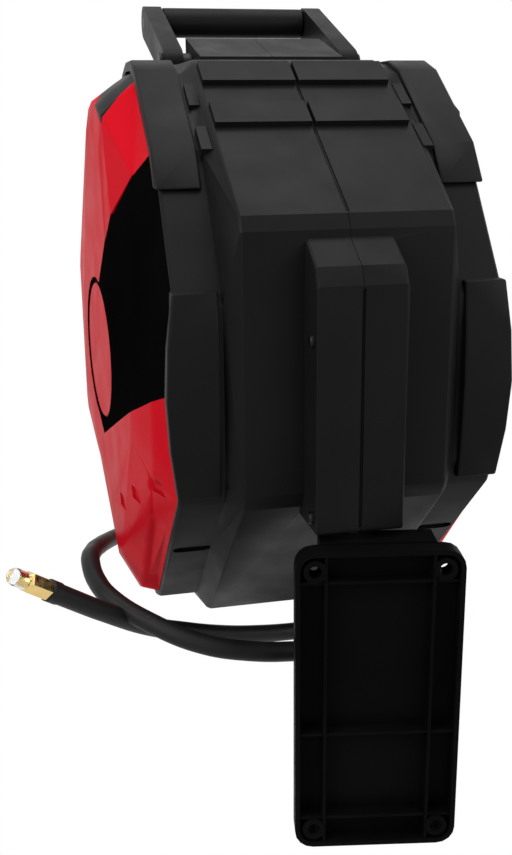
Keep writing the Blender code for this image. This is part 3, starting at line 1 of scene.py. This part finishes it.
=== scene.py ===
"""Looks of a wall-mounted retractable hose reel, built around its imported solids.

The solids give every place and size. This script smooths them, draws the free hose as a curve and the
wound hose as turns, gives every piece its material, and sets up the light and the camera.
"""

from __future__ import annotations

import json
import logging
import math
from dataclasses import dataclass, field
from enum import Enum

import bmesh
import bpy
from mathutils import Matrix, Vector

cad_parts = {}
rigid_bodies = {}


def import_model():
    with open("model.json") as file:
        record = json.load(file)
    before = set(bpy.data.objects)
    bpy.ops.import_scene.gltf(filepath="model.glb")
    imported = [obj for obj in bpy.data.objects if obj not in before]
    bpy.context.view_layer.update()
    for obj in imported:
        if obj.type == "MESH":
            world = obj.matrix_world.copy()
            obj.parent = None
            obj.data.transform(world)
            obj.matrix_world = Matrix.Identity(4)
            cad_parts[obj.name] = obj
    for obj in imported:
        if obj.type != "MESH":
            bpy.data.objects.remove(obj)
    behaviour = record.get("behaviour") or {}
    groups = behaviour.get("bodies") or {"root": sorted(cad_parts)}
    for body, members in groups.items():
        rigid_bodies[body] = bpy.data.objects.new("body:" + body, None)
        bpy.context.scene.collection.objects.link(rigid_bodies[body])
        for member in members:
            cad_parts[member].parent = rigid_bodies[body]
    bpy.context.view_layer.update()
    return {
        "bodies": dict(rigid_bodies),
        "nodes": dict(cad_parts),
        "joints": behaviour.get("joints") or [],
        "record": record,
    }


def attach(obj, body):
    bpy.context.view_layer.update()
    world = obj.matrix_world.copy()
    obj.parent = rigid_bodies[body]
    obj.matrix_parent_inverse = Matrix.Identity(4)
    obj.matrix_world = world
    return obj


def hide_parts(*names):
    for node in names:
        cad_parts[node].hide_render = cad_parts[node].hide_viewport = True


LOG = logging.getLogger("hose_reel")
MM = 0.001
Color = tuple[float, float, float]
Point = tuple[float, float, float]

# Noise lies mostly between these two values, so colours and ranges are spread over them.
NOISE_LOW = 0.3
NOISE_HIGH = 0.7

# How a solid's mesh is merged, refined and rounded.
MERGE_DISTANCE = 1e-6
FLAT_ANGLE = math.radians(0.5)
REFINE_ROUNDS = 6
ROUNDING_SEGMENTS = 2


class Body(Enum):
    """The bodies that carry the hose, by their names in the record."""

    CASE = "case"
    DRUM = "drum"


@dataclass(frozen=True)
class Noise:
    """A noise texture: its features to a metre and its finer octaves."""

    scale: float
    detail: float


class NodeGraph:
    """A small wrapper that builds a material's node tree."""

    def __init__(self, name: str) -> None:
        """Makes an empty material with a Principled shader.

        Args:
            name: the material's name.
        """
        self.material = bpy.data.materials.new(name)
        self.material.use_nodes = True
        self.tree = self.material.node_tree
        self.shader = self.tree.nodes["Principled BSDF"]
        self.coords = self.add("ShaderNodeTexCoord").outputs["Object"]

    def add(self, kind: str, **settings: object) -> bpy.types.Node:
        """Adds a node.

        Args:
            kind: the node's type.
            settings: its properties, by name.

        Returns:
            The new node.
        """
        node = self.tree.nodes.new(kind)
        for name, value in settings.items():
            setattr(node, name, value)
        return node

    def link(self, source: bpy.types.NodeSocket, target: bpy.types.NodeSocket) -> None:
        """Joins two sockets."""
        self.tree.links.new(source, target)

    def noise(self, kind: Noise) -> bpy.types.NodeSocket:
        """Noise on Object coordinates.

        Args:
            kind: its scale and detail.

        Returns:
            The noise's factor.
        """
        texture = self.add("ShaderNodeTexNoise")
        texture.inputs["Scale"].default_value = kind.scale
        texture.inputs["Detail"].default_value = kind.detail
        self.link(self.coords, texture.inputs["Vector"])
        return texture.outputs["Fac"]

    def between(self, factor: bpy.types.NodeSocket, low: float, high: float) -> bpy.types.NodeSocket:
        """Maps a noise's factor onto a range.

        Args:
            factor: the factor that is mapped.
            low: the value at its low end.
            high: the value at its high end.

        Returns:
            The mapped value.
        """
        node = self.add("ShaderNodeMapRange")
        node.inputs["From Min"].default_value = NOISE_LOW
        node.inputs["From Max"].default_value = NOISE_HIGH
        node.inputs["To Min"].default_value = low
        node.inputs["To Max"].default_value = high
        self.link(factor, node.inputs["Value"])
        return node.outputs["Result"]

    def tint(self, factor: bpy.types.NodeSocket, first: Color, second: Color) -> bpy.types.NodeSocket:
        """A colour between two, by a factor.

        Args:
            factor: which of the two colours shows.
            first: the colour at the factor's low end.
            second: the colour at its high end.

        Returns:
            The mixed colour.
        """
        ramp = self.add("ShaderNodeValToRGB")
        ramp.color_ramp.elements[0].position = NOISE_LOW
        ramp.color_ramp.elements[1].position = NOISE_HIGH
        ramp.color_ramp.elements[0].color = (*first, 1.0)
        ramp.color_ramp.elements[1].color = (*second, 1.0)
        self.link(factor, ramp.inputs["Fac"])
        return ramp.outputs["Color"]

    def relief(self, height: bpy.types.NodeSocket, strength: float, distance: float) -> None:
        """Adds a bump to the shader.

        Args:
            height: the height of the relief.
            strength: how much of it shows.
            distance: its depth in metres.
        """
        bump = self.add("ShaderNodeBump")
        bump.inputs["Strength"].default_value = strength
        bump.inputs["Distance"].default_value = distance
        before = self.shader.inputs["Normal"].links
        if before:
            self.link(before[0].from_socket, bump.inputs["Normal"])
        self.link(height, bump.inputs["Height"])
        self.link(bump.outputs["Normal"], self.shader.inputs["Normal"])


@dataclass(frozen=True)
class MouldedPlastic:
    """A moulded plastic with a fine eroded grain and a faint mottle."""

    name: str
    dark: Color
    light: Color
    rough_low: float
    rough_high: float
    grain: float = 1400.0
    grain_detail: float = 2.0
    grain_depth: float = 0.06 * MM
    grain_strength: float = 0.25
    shine: float = 0.5
    mottle: Noise = Noise(9.0, 5.0)
    haze: Noise = Noise(38.0, 6.0)

    def build(self) -> bpy.types.Material:
        """Makes the material.

        Returns:
            The material.
        """
        graph = NodeGraph(self.name)
        mottle = graph.noise(self.mottle)
        graph.link(graph.tint(mottle, self.dark, self.light), graph.shader.inputs["Base Color"])
        haze = graph.noise(self.haze)
        graph.link(graph.between(haze, self.rough_low, self.rough_high), graph.shader.inputs["Roughness"])
        grain = graph.noise(Noise(self.grain, self.grain_detail))
        graph.relief(grain, self.grain_strength, self.grain_depth)
        graph.shader.inputs["Specular IOR Level"].default_value = self.shine
        return graph.material


@dataclass(frozen=True)
class TurnedMetal:
    """A metal with a faint stain and a fine grain."""

    name: str
    dark: Color
    light: Color
    rough_low: float
    rough_high: float
    stain: Noise = Noise(60.0, 5.0)
    grain: Noise = Noise(220.0, 3.0)
    grain_strength: float = 0.15
    grain_depth: float = 0.05 * MM

    def build(self) -> bpy.types.Material:
        """Makes the material.

        Returns:
            The material.
        """
        graph = NodeGraph(self.name)
        stain = graph.noise(self.stain)
        graph.link(graph.tint(stain, self.dark, self.light), graph.shader.inputs["Base Color"])
        grain = graph.noise(self.grain)
        graph.link(graph.between(grain, self.rough_low, self.rough_high), graph.shader.inputs["Roughness"])
        graph.relief(grain, self.grain_strength, self.grain_depth)
        graph.shader.inputs["Metallic"].default_value = 1.0
        return graph.material


@dataclass(frozen=True)
class HoseRubber:
    """Matt black rubber with a faint bloom and a fine skin."""

    name: str
    dark: Color = (0.005, 0.005, 0.005)
    bloom: Color = (0.01, 0.01, 0.01)
    rough_low: float = 0.4
    rough_high: float = 0.55
    shine: float = 0.15
    cloud: Noise = Noise(26.0, 6.0)
    skin: Noise = Noise(900.0, 3.0)
    skin_strength: float = 0.2
    skin_depth: float = 0.08 * MM

    def build(self) -> bpy.types.Material:
        """Makes the material.

        Returns:
            The material.
        """
        graph = NodeGraph(self.name)
        cloud = graph.noise(self.cloud)
        graph.link(graph.tint(cloud, self.dark, self.bloom), graph.shader.inputs["Base Color"])
        graph.link(graph.between(cloud, self.rough_low, self.rough_high), graph.shader.inputs["Roughness"])
        graph.shader.inputs["Specular IOR Level"].default_value = self.shine
        graph.relief(graph.noise(self.skin), self.skin_strength, self.skin_depth)
        return graph.material


@dataclass(frozen=True)
class ClearPlastic:
    """Clear soft plastic with a faint haze."""

    name: str
    color: Color = (0.96, 0.97, 0.97)
    hazy: Color = (0.9, 0.92, 0.92)
    rough_low: float = 0.05
    rough_high: float = 0.22
    refraction: float = 1.4
    haze: Noise = Noise(160.0, 3.0)

    def build(self) -> bpy.types.Material:
        """Makes the material.

        Returns:
            The material.
        """
        graph = NodeGraph(self.name)
        haze = graph.noise(self.haze)
        graph.link(graph.between(haze, self.rough_low, self.rough_high), graph.shader.inputs["Roughness"])
        graph.link(graph.tint(haze, self.color, self.hazy), graph.shader.inputs["Base Color"])
        graph.shader.inputs["Transmission Weight"].default_value = 1.0
        graph.shader.inputs["IOR"].default_value = self.refraction
        return graph.material


@dataclass
class Finishes:
    """All materials of the reel, made once."""

    case: bpy.types.Material = field(init=False)
    bracket: bpy.types.Material = field(init=False)
    panel: bpy.types.Material = field(init=False)
    red: bpy.types.Material = field(init=False)
    steel: bpy.types.Material = field(init=False)
    blackened: bpy.types.Material = field(init=False)
    brass: bpy.types.Material = field(init=False)
    nylon: bpy.types.Material = field(init=False)
    rubber: bpy.types.Material = field(init=False)
    clear: bpy.types.Material = field(init=False)

    def __post_init__(self) -> None:
        """Builds each material."""
        self.case = MouldedPlastic(
            "case_black", (0.0045, 0.0045, 0.0047), (0.007, 0.007, 0.0072), 0.38, 0.5, shine=0.06
        ).build()
        # The bracket gets a darker, less shiny copy of the case black: painted shade, for the shade that
        # falls inside the bracket.
        self.bracket = MouldedPlastic(
            "bracket_black_painted_shade", (0.0015, 0.0015, 0.0016), (0.0028, 0.0028, 0.0029), 0.45, 0.58, shine=0.02
        ).build()
        self.panel = MouldedPlastic(
            "panel_dark", (0.0015, 0.0015, 0.0016), (0.0025, 0.0025, 0.0026), 0.24, 0.32,
            grain_strength=0.06, shine=0.0,
        ).build()
        self.red = MouldedPlastic(
            "cover_red", (0.43, 0.004, 0.011), (0.48, 0.006, 0.014), 0.3, 0.4,
            grain=320.0, grain_strength=0.05, shine=0.01,
        ).build()
        self.steel = TurnedMetal("zinc_steel", (0.42, 0.43, 0.44), (0.58, 0.59, 0.6), 0.28, 0.45).build()
        self.blackened = TurnedMetal(
            "blackened_steel", (0.012, 0.012, 0.012), (0.022, 0.022, 0.022), 0.4, 0.55
        ).build()
        self.brass = TurnedMetal("fitting_brass", (0.68, 0.46, 0.15), (0.8, 0.6, 0.26), 0.16, 0.3).build()
        self.nylon = MouldedPlastic(
            "bush_nylon", (0.6, 0.59, 0.55), (0.7, 0.69, 0.65), 0.4, 0.55, grain_strength=0.1
        ).build()
        self.rubber = HoseRubber("hose_rubber").build()
        self.clear = ClearPlastic("clear_cap").build()

    def of(self, node: str, slot: str) -> bpy.types.Material:
        """The material of a node: one of its own, or the one for its slot in the record.

        Args:
            node: the node's name.
            slot: its material slot in the record.

        Returns:
            The material.
        """
        # The bracket's darker black is painted shade; the bracket is the same black plastic as the case.
        if node == "wall_bracket":
            return self.bracket
        if node.startswith("boss_screw") or ("handle" in node and slot == "zinc_steel"):
            return self.blackened
        by_slot = {
            "case_black": self.case,
            "panel_dark": self.panel,
            "cover_red": self.red,
            "zinc_steel": self.steel,
            "fitting_brass": self.brass,
            "bush_nylon": self.nylon,
            "hose_rubber": self.rubber,
            "clear_cap": self.clear,
        }
        return by_slot[slot]


@dataclass(frozen=True)
class ReelPlace:
    """Where the middle of the case lies: the reel's own frame, turned about the pivot."""

    pivot_x: float = -16 * MM
    pivot_y: float = 42 * MM
    pivot_to_middle: float = 207 * MM
    middle_height: float = 196 * MM
    rest_turn: float = math.radians(10.5)

    def matrix(self) -> Matrix:
        """The transform from reel sizes to the shared frame."""
        place = Matrix.Translation((self.pivot_x, self.pivot_y, 0.0))
        turn = Matrix.Rotation(self.rest_turn, 4, "Z")
        return place @ turn @ Matrix.Translation((0.0, self.pivot_to_middle, self.middle_height))

    def at(self, x: float, y: float, z: float) -> Vector:
        """A point of the reel in the shared frame.

        Args:
            x: millimetres from the middle of the case, along the drum.
            y: millimetres from it, away from the wall.
            z: millimetres from it, upwards.

        Returns:
            The point, in metres.
        """
        return self.matrix() @ (Vector((x, y, z)) * MM)


class Workshop:
    """Makes pieces, dresses them and reports them."""

    def __init__(self, frame: dict, finishes: Finishes) -> None:
        """Keeps the frame and finds each node's body and slot.

        Args:
            finishes: the reel's materials.
        """
        self.nodes: dict[str, bpy.types.Object] = frame["nodes"]
        self.finishes = finishes
        record = frame["record"]
        self.slots = {entry["node"]: entry["material_slot"] for entry in record["subparts"]}
        bodies = record["behaviour"]["bodies"]
        self.body_of = {node: body for body, nodes in bodies.items() for node in nodes}

    def add(self, name: str, mesh: bpy.types.Mesh, material: bpy.types.Material) -> bpy.types.Object:
        """Makes an object at the origin from a mesh, with one material.

        Args:
            name: the piece's name.
            mesh: its mesh, in the shared frame.
            material: its finish.

        Returns:
            The new object.
        """
        obj = bpy.data.objects.new(name, mesh)
        bpy.context.scene.collection.objects.link(obj)
        mesh.materials.clear()
        mesh.materials.append(material)
        return obj

    def install(self, obj: bpy.types.Object, body: str, slot: str, *nodes: str) -> None:
        """Sets a piece on its body and hides the nodes that it stands for.

        Args:
            obj: the piece.
            body: the body that it moves with.
            slot: the record's material slot; not used.
            nodes: the nodes that it replaces.
        """
        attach(obj, body)
        if nodes:
            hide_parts(*nodes)
        LOG.info("piece %s on %s", obj.name, body)

    def merged(self, node: str) -> bmesh.types.BMesh:
        """A merged copy of a node's mesh, with flat faces joined.

        Args:
            node: the node's name.

        Returns:
            The copy, for further work.
        """
        bm = bmesh.new()
        bm.from_mesh(self.nodes[node].data)
        bmesh.ops.remove_doubles(bm, verts=bm.verts, dist=MERGE_DISTANCE)
        bmesh.ops.dissolve_limit(bm, angle_limit=FLAT_ANGLE, verts=bm.verts, edges=bm.edges)
        return bm

    def refine(self, bm: bmesh.types.BMesh, longest: float) -> None:
        """Splits long edges, so that shading turns from face to face only near the creases.

        Args:
            bm: the mesh that is refined.
            longest: the longest edge that stays, in metres.
        """
        for _ in range(REFINE_ROUNDS):
            bmesh.ops.triangulate(bm, faces=bm.faces)
            edges = [edge for edge in bm.edges if edge.calc_length() > longest]
            if not edges:
                break
            bmesh.ops.subdivide_edges(bm, edges=edges, cuts=1)

    def smooth_copy(
        self, node: str, angle: float = 32.0, rounding: float = 0.0, longest: float = 0.0
    ) -> bpy.types.Object:
        """Replaces a node by a merged copy that is shaded smooth where it is round.

        Args:
            node: the node's name.
            angle: edges sharper than this, in degrees, stay crisp.
            rounding: the width in metres to which sharp edges are rounded, or 0 for none.
            longest: the longest edge in metres that stays whole, or 0 for any.

        Returns:
            The copy.
        """
        bm = self.merged(node)
        if longest:
            self.refine(bm, longest)
        mesh = bpy.data.meshes.new(node + "_skin")
        bm.to_mesh(mesh)
        bm.free()
        mesh.shade_smooth()
        mesh.set_sharp_from_angle(angle=math.radians(angle))
        obj = self.add(node + "_skin", mesh, self.finishes.of(node, self.slots[node]))
        if rounding:
            bevel = obj.modifiers.new("rounding", "BEVEL")
            bevel.width = rounding
            bevel.segments = ROUNDING_SEGMENTS
            bevel.limit_method = "ANGLE"
            bevel.angle_limit = math.radians(angle)
            bevel.harden_normals = True
        self.install(obj, self.body_of[node], self.slots[node], node)
        return obj

    def bake(self, obj: bpy.types.Object, name: str) -> bpy.types.Mesh:
        """The evaluated mesh of an object, as a plain mesh; the object is removed.

        Args:
            obj: the object with its modifiers.
            name: the new mesh's name.

        Returns:
            The plain mesh.
        """
        bpy.context.view_layer.update()
        graph = bpy.context.evaluated_depsgraph_get()
        mesh = bpy.data.meshes.new_from_object(obj.evaluated_get(graph))
        mesh.name = name
        bpy.data.objects.remove(obj, do_unlink=True)
        return mesh


@dataclass
class FreeHose:
    """The hose outside the case, its stop ball and its end fitting."""

    place: ReelPlace
    radius: float = 7 * MM
    route: tuple[Point, ...] = (
        (0, 205, -100), (0, 230, -100), (0, 255, -100), (-11, 288, -105), (-44, 312, -127), (-80, 303, -160),
        (-98, 268, -190), (-99, 214, -212), (-99, 165, -220), (-106, 130, -214), (-117, 100, -203),
        (-129, 65, -192), (-139, 25, -179), (-148, -20, -164), (-155, -55, -154), (-159, -86, -149),
        (-157, -108, -154), (-148, -130, -160), (-124, -154, -170), (-92, -171, -181), (-58, -175, -189),
        (-22, -172, -195), (18, -164, -201), (54, -147, -208), (78, -118, -217), (80, -82, -227),
        (54, -57, -238), (12, -54, -241), (-34, -70, -231), (-66, -86, -219), (-95, -102, -205),
        (-121, -123, -188), (-157, -154, -157), (-186, -174, -132),
    )
    fittings: tuple[str, ...] = ("hose_stop", "hose_ferrule", "end_fitting", "thread_cap")
    steps_around: int = 6
    steps_along: int = 10

    def points(self) -> list[Vector]:
        """The route's points in the shared frame."""
        return [self.place.at(*point) for point in self.route]

    def curve(self, workshop: Workshop) -> bpy.types.Object:
        """Makes the hose as a curve of one open spline.

        Args:
            workshop: where the piece is made.

        Returns:
            The hose.
        """
        data = bpy.data.curves.new("free_hose_run", "CURVE")
        data.dimensions = "3D"
        data.bevel_depth = self.radius
        data.bevel_resolution = self.steps_around
        data.resolution_u = self.steps_along
        data.use_fill_caps = True
        spline = data.splines.new("BEZIER")
        points = self.points()
        spline.bezier_points.add(len(points) - 1)
        for spot, point in zip(spline.bezier_points, points):
            spot.co = point
            spot.handle_left_type = "AUTO"
            spot.handle_right_type = "AUTO"
        data.materials.append(workshop.finishes.rubber)
        obj = bpy.data.objects.new("free_hose_run", data)
        bpy.context.scene.collection.objects.link(obj)
        return obj

    def build(self, workshop: Workshop) -> None:
        """Args:
            workshop: where the pieces are made.
        """
        hose = self.curve(workshop)
        workshop.install(hose, Body.CASE.value, "hose_rubber", "free_hose")
        on_it = [workshop.smooth_copy(node) for node in self.fittings]
        bpy.context.view_layer.update()
        tuple(self.points()[0])


@dataclass
class WoundHose:
    """The hose on the drum, as turns that Geometry Nodes sweep along a helix."""

    place: ReelPlace
    hose_radius: float = 7 * MM
    drop: float = 8.5 * MM
    steps_a_turn: int = 48
    steps_around: int = 14
    # Each layer has its node, the radius of its middle line, its turns and half its width.
    layers: tuple[tuple[str, float, float, float], ...] = (
        ("hose_winding", 100.7 * MM, 9.5, 72 * MM),
        ("hose_inner_layer", 85.6 * MM, 9.5, 72 * MM),
    )

    def tree(self) -> bpy.types.NodeTree:
        """A node tree that sweeps a round hose along a helix about X.

        Returns:
            The tree, with named inputs for its sizes.
        """
        tree = bpy.data.node_groups.new("wind_hose", "GeometryNodeTree")
        tree.interface.new_socket("Geometry", in_out="OUTPUT", socket_type="NodeSocketGeometry")
        for name, kind in (
            ("Radius", "NodeSocketFloat"), ("Turns", "NodeSocketFloat"), ("Width", "NodeSocketFloat"),
            ("Hose radius", "NodeSocketFloat"), ("Finish", "NodeSocketMaterial"),
        ):
            tree.interface.new_socket(name, in_out="INPUT", socket_type=kind)
        nodes = tree.nodes
        links = tree.links
        given = nodes.new("NodeGroupInput")
        made = nodes.new("NodeGroupOutput")
        helix = nodes.new("GeometryNodeCurveSpiral")
        helix.inputs["Resolution"].default_value = self.steps_a_turn
        links.new(given.outputs["Turns"], helix.inputs["Rotations"])
        links.new(given.outputs["Radius"], helix.inputs["Start Radius"])
        links.new(given.outputs["Radius"], helix.inputs["End Radius"])
        links.new(given.outputs["Width"], helix.inputs["Height"])
        profile = nodes.new("GeometryNodeCurvePrimitiveCircle")
        profile.inputs["Resolution"].default_value = self.steps_around
        links.new(given.outputs["Hose radius"], profile.inputs["Radius"])
        sweep = nodes.new("GeometryNodeCurveToMesh")
        sweep.inputs["Fill Caps"].default_value = True
        links.new(helix.outputs["Curve"], sweep.inputs["Curve"])
        links.new(profile.outputs["Curve"], sweep.inputs["Profile Curve"])
        smooth = nodes.new("GeometryNodeSetShadeSmooth")
        links.new(sweep.outputs["Mesh"], smooth.inputs["Geometry"])
        real = nodes.new("GeometryNodeRealizeInstances")
        links.new(smooth.outputs["Geometry"], real.inputs["Geometry"])
        finish = nodes.new("GeometryNodeSetMaterial")
        links.new(real.outputs["Geometry"], finish.inputs["Geometry"])
        links.new(given.outputs["Finish"], finish.inputs["Material"])
        links.new(finish.outputs["Geometry"], made.inputs[0])
        return tree

    def build(self, workshop: Workshop) -> None:
        """Winds each layer and sets it on the drum.

        Args:
            workshop: where the pieces are made.
        """
        tree = self.tree()
        inputs = {item.name: item.identifier for item in tree.interface.items_tree if item.in_out == "INPUT"}
        for node, radius, turns, half in self.layers:
            obj = bpy.data.objects.new(node + "_helix", bpy.data.meshes.new(node))
            bpy.context.scene.collection.objects.link(obj)
            modifier = obj.modifiers.new("wind", "NODES")
            modifier.node_group = tree
            modifier[inputs["Radius"]] = radius
            modifier[inputs["Turns"]] = turns
            modifier[inputs["Width"]] = 2 * half
            modifier[inputs["Hose radius"]] = self.hose_radius
            modifier[inputs["Finish"]] = workshop.finishes.rubber
            mesh = workshop.bake(obj, node + "_turns")
            turn = Matrix.Rotation(math.pi / 2, 4, "Y")
            mesh.transform(self.place.matrix() @ Matrix.Translation((-half, 0, -self.drop)) @ turn)
            piece = workshop.add(node + "_turns", mesh, workshop.finishes.rubber)
            workshop.install(piece, Body.DRUM.value, "hose_rubber", node)


@dataclass
class Shell:
    """Every other solid, smoothed and dressed: those with crisp edges, the round ones and the domed ones."""

    crisp: tuple[str, ...] = (
        "left_case_half", "right_case_half", "wall_bracket", "hose_guide",
        "left_handle_arm", "right_handle_arm", "ratchet_ring", "pawl", "left_shaft_nut", "right_shaft_nut",
    )
    soft: tuple[str, ...] = (
        "left_hub_cap", "right_hub_cap", "handle_grip", "handle_rod", "left_handle_pin",
        "right_handle_pin", "boss_screw_1", "boss_screw_2", "pivot_pin",
        "thrust_washer", "lower_pivot_bush", "upper_pivot_bush", "air_inlet",
        "hose_lead", "shaft", "drum_core", "left_drum_flange", "right_drum_flange", "left_drum_bush",
        "right_drum_bush", "drum_divider", "mainspring", "spring_arbor", "air_union", "union_nipple",
        "pawl_pin", "pawl_spring", "level_roller_1", "level_roller_2", "upright_roller_1",
        "upright_roller_2", "level_roller_pin_1", "level_roller_pin_2", "upright_roller_pin_1",
        "upright_roller_pin_2",
    )
    domed: tuple[str, ...] = (
        "left_side_cover", "right_side_cover", "left_rear_inlay", "right_rear_inlay", "left_top_inlay",
        "right_top_inlay",
    )
    crisp_angle: float = 24.0
    soft_angle: float = 38.0
    rounding: float = 0.5 * MM
    domed_angle: float = 16.0
    longest_edge: float = 8 * MM

    def build(self, workshop: Workshop) -> None:
        """Smooths every solid and gives it its finish.

        Args:
            workshop: where the pieces are made.
        """
        for node in self.crisp:
            workshop.smooth_copy(node, self.crisp_angle, self.rounding)
        for node in self.soft:
            workshop.smooth_copy(node, self.soft_angle)
        for node in self.domed:
            workshop.smooth_copy(node, self.domed_angle, longest=self.longest_edge)


@dataclass
class Studio:
    """The floor, the light and the camera."""

    camera_place: Point = (-0.0985, -0.6058, 0.3617)
    yaw: float = math.radians(2.11)
    pitch: float = math.radians(16.18)
    roll: float = math.radians(-0.57)
    focal_pixels: float = 1074.0
    frame_height: float = 855.0
    sensor: float = 36.0
    clip_end: float = 50.0
    floor_height: float = -0.75
    floor_size: float = 6.0
    floor_rough: float = 0.9
    floor_dark: Color = (0.86, 0.86, 0.86)
    floor_light: Color = (0.88, 0.88, 0.88)
    floor_cloud: Noise = Noise(0.4, 2.0)
    soft_light: float = 0.3
    lamp_target: Point = (-0.05, 0.2, 0.2)
    # Each lamp has its name, its place, its edge in metres and its power in watts.
    lamps: tuple[tuple[str, Point, float, float], ...] = (
        ("key_left", (-1.3, -0.9, 1.1), 1.0, 26.0),
        ("fill_right", (1.4, -0.7, 0.8), 1.2, 16.0),
        ("top", (0.0, 0.1, 1.9), 1.4, 26.0),
    )

    def camera(self) -> None:
        """Sets the camera where the photo was taken from."""
        data = bpy.data.cameras.new("photo_camera")
        data.sensor_width = self.sensor
        data.lens = self.focal_pixels / self.frame_height * self.sensor
        data.clip_end = self.clip_end
        obj = bpy.data.objects.new("photo_camera", data)
        bpy.context.scene.collection.objects.link(obj)
        right = Vector((math.cos(self.yaw), -math.sin(self.yaw), 0.0))
        level = Vector((math.sin(self.yaw), math.cos(self.yaw), 0.0))
        ahead = level * math.cos(self.pitch) - Vector((0, 0, math.sin(self.pitch)))
        up = right.cross(ahead)
        across = right * math.cos(self.roll) + up * math.sin(self.roll)
        upward = up * math.cos(self.roll) - right * math.sin(self.roll)
        turn = Matrix((across, upward, -ahead)).transposed()
        obj.matrix_world = Matrix.Translation(self.camera_place) @ turn.to_4x4()
        bpy.context.scene.camera = obj

    def background(self, tree: bpy.types.NodeTree) -> bpy.types.NodeSocket:
        """A factor that is 1 for rays from the camera, from gloss and through clear parts.

        Args:
            tree: the node tree that it is made in.

        Returns:
            The factor.
        """
        path = tree.nodes.new("ShaderNodeLightPath")
        total = path.outputs["Is Camera Ray"]
        for name in ("Is Glossy Ray", "Is Transmission Ray"):
            larger = tree.nodes.new("ShaderNodeMath")
            larger.operation = "MAXIMUM"
            tree.links.new(total, larger.inputs[0])
            tree.links.new(path.outputs[name], larger.inputs[1])
            total = larger.outputs[0]
        return total

    def floor(self) -> None:
        """A wide pale floor that the camera sees as plain white."""
        bm = bmesh.new()
        bmesh.ops.create_grid(bm, x_segments=1, y_segments=1, size=self.floor_size)
        mesh = bpy.data.meshes.new("floor")
        bm.to_mesh(mesh)
        bm.free()
        mesh.transform(Matrix.Translation((0, 0, self.floor_height)))
        graph = NodeGraph("floor_white")
        graph.shader.inputs["Roughness"].default_value = self.floor_rough
        cloud = graph.noise(self.floor_cloud)
        tint = graph.tint(cloud, self.floor_dark, self.floor_light)
        graph.link(tint, graph.shader.inputs["Base Color"])
        glow = graph.add("ShaderNodeEmission")
        mix = graph.add("ShaderNodeMixShader")
        graph.link(self.background(graph.tree), mix.inputs["Fac"])
        graph.link(graph.shader.outputs["BSDF"], mix.inputs[1])
        graph.link(glow.outputs["Emission"], mix.inputs[2])
        graph.link(mix.outputs["Shader"], graph.tree.nodes["Material Output"].inputs["Surface"])
        obj = bpy.data.objects.new("floor", mesh)
        mesh.materials.append(graph.material)
        bpy.context.scene.collection.objects.link(obj)

    def world(self) -> None:
        """A white surround for the camera, gloss and clear parts, and a soft light for the rest."""
        world = bpy.data.worlds.new("studio")
        world.use_nodes = True
        tree = world.node_tree
        tree.nodes.clear()
        out = tree.nodes.new("ShaderNodeOutputWorld")
        white = tree.nodes.new("ShaderNodeBackground")
        soft = tree.nodes.new("ShaderNodeBackground")
        soft.inputs["Color"].default_value = (1.0, 1.0, 1.0, 1.0)
        soft.inputs["Strength"].default_value = self.soft_light
        mix = tree.nodes.new("ShaderNodeMixShader")
        tree.links.new(self.background(tree), mix.inputs["Fac"])
        tree.links.new(soft.outputs["Background"], mix.inputs[1])
        tree.links.new(white.outputs["Background"], mix.inputs[2])
        tree.links.new(mix.outputs["Shader"], out.inputs["Surface"])
        white.inputs["Color"].default_value = (1.0, 1.0, 1.0, 1.0)
        bpy.context.scene.world = world

    def lamp(self, name: str, place: Point, size: float, power: float) -> None:
        """Adds a soft square lamp that points at the reel.

        Args:
            name: the lamp's name.
            place: where it stands.
            size: its edge in metres.
            power: its power in watts.
        """
        data = bpy.data.lights.new(name, "AREA")
        data.size = size
        data.energy = power
        obj = bpy.data.objects.new(name, data)
        bpy.context.scene.collection.objects.link(obj)
        aim = Vector(self.lamp_target) - Vector(place)
        obj.matrix_world = Matrix.Translation(place) @ aim.to_track_quat("-Z", "Y").to_matrix().to_4x4()

    def build(self) -> None:
        """Sets up the floor, the light and the view settings."""
        self.floor()
        self.world()
        for name, lamp_place, size, power in self.lamps:
            self.lamp(name, lamp_place, size, power)
        bpy.context.scene.view_settings.view_transform = "Standard"


def main() -> None:
    """Builds every piece in order and reports it."""
    logging.basicConfig(level=logging.INFO, format="%(name)s: %(message)s")
    for obj in list(bpy.data.objects):
        bpy.data.objects.remove(obj, do_unlink=True)
    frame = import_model()
    studio = Studio()
    studio.camera()
    place = ReelPlace()
    workshop = Workshop(frame, Finishes())
    FreeHose(place).build(workshop)
    WoundHose(place).build(workshop)
    Shell().build(workshop)
    studio.build()


if __name__ == "__main__":
    main()
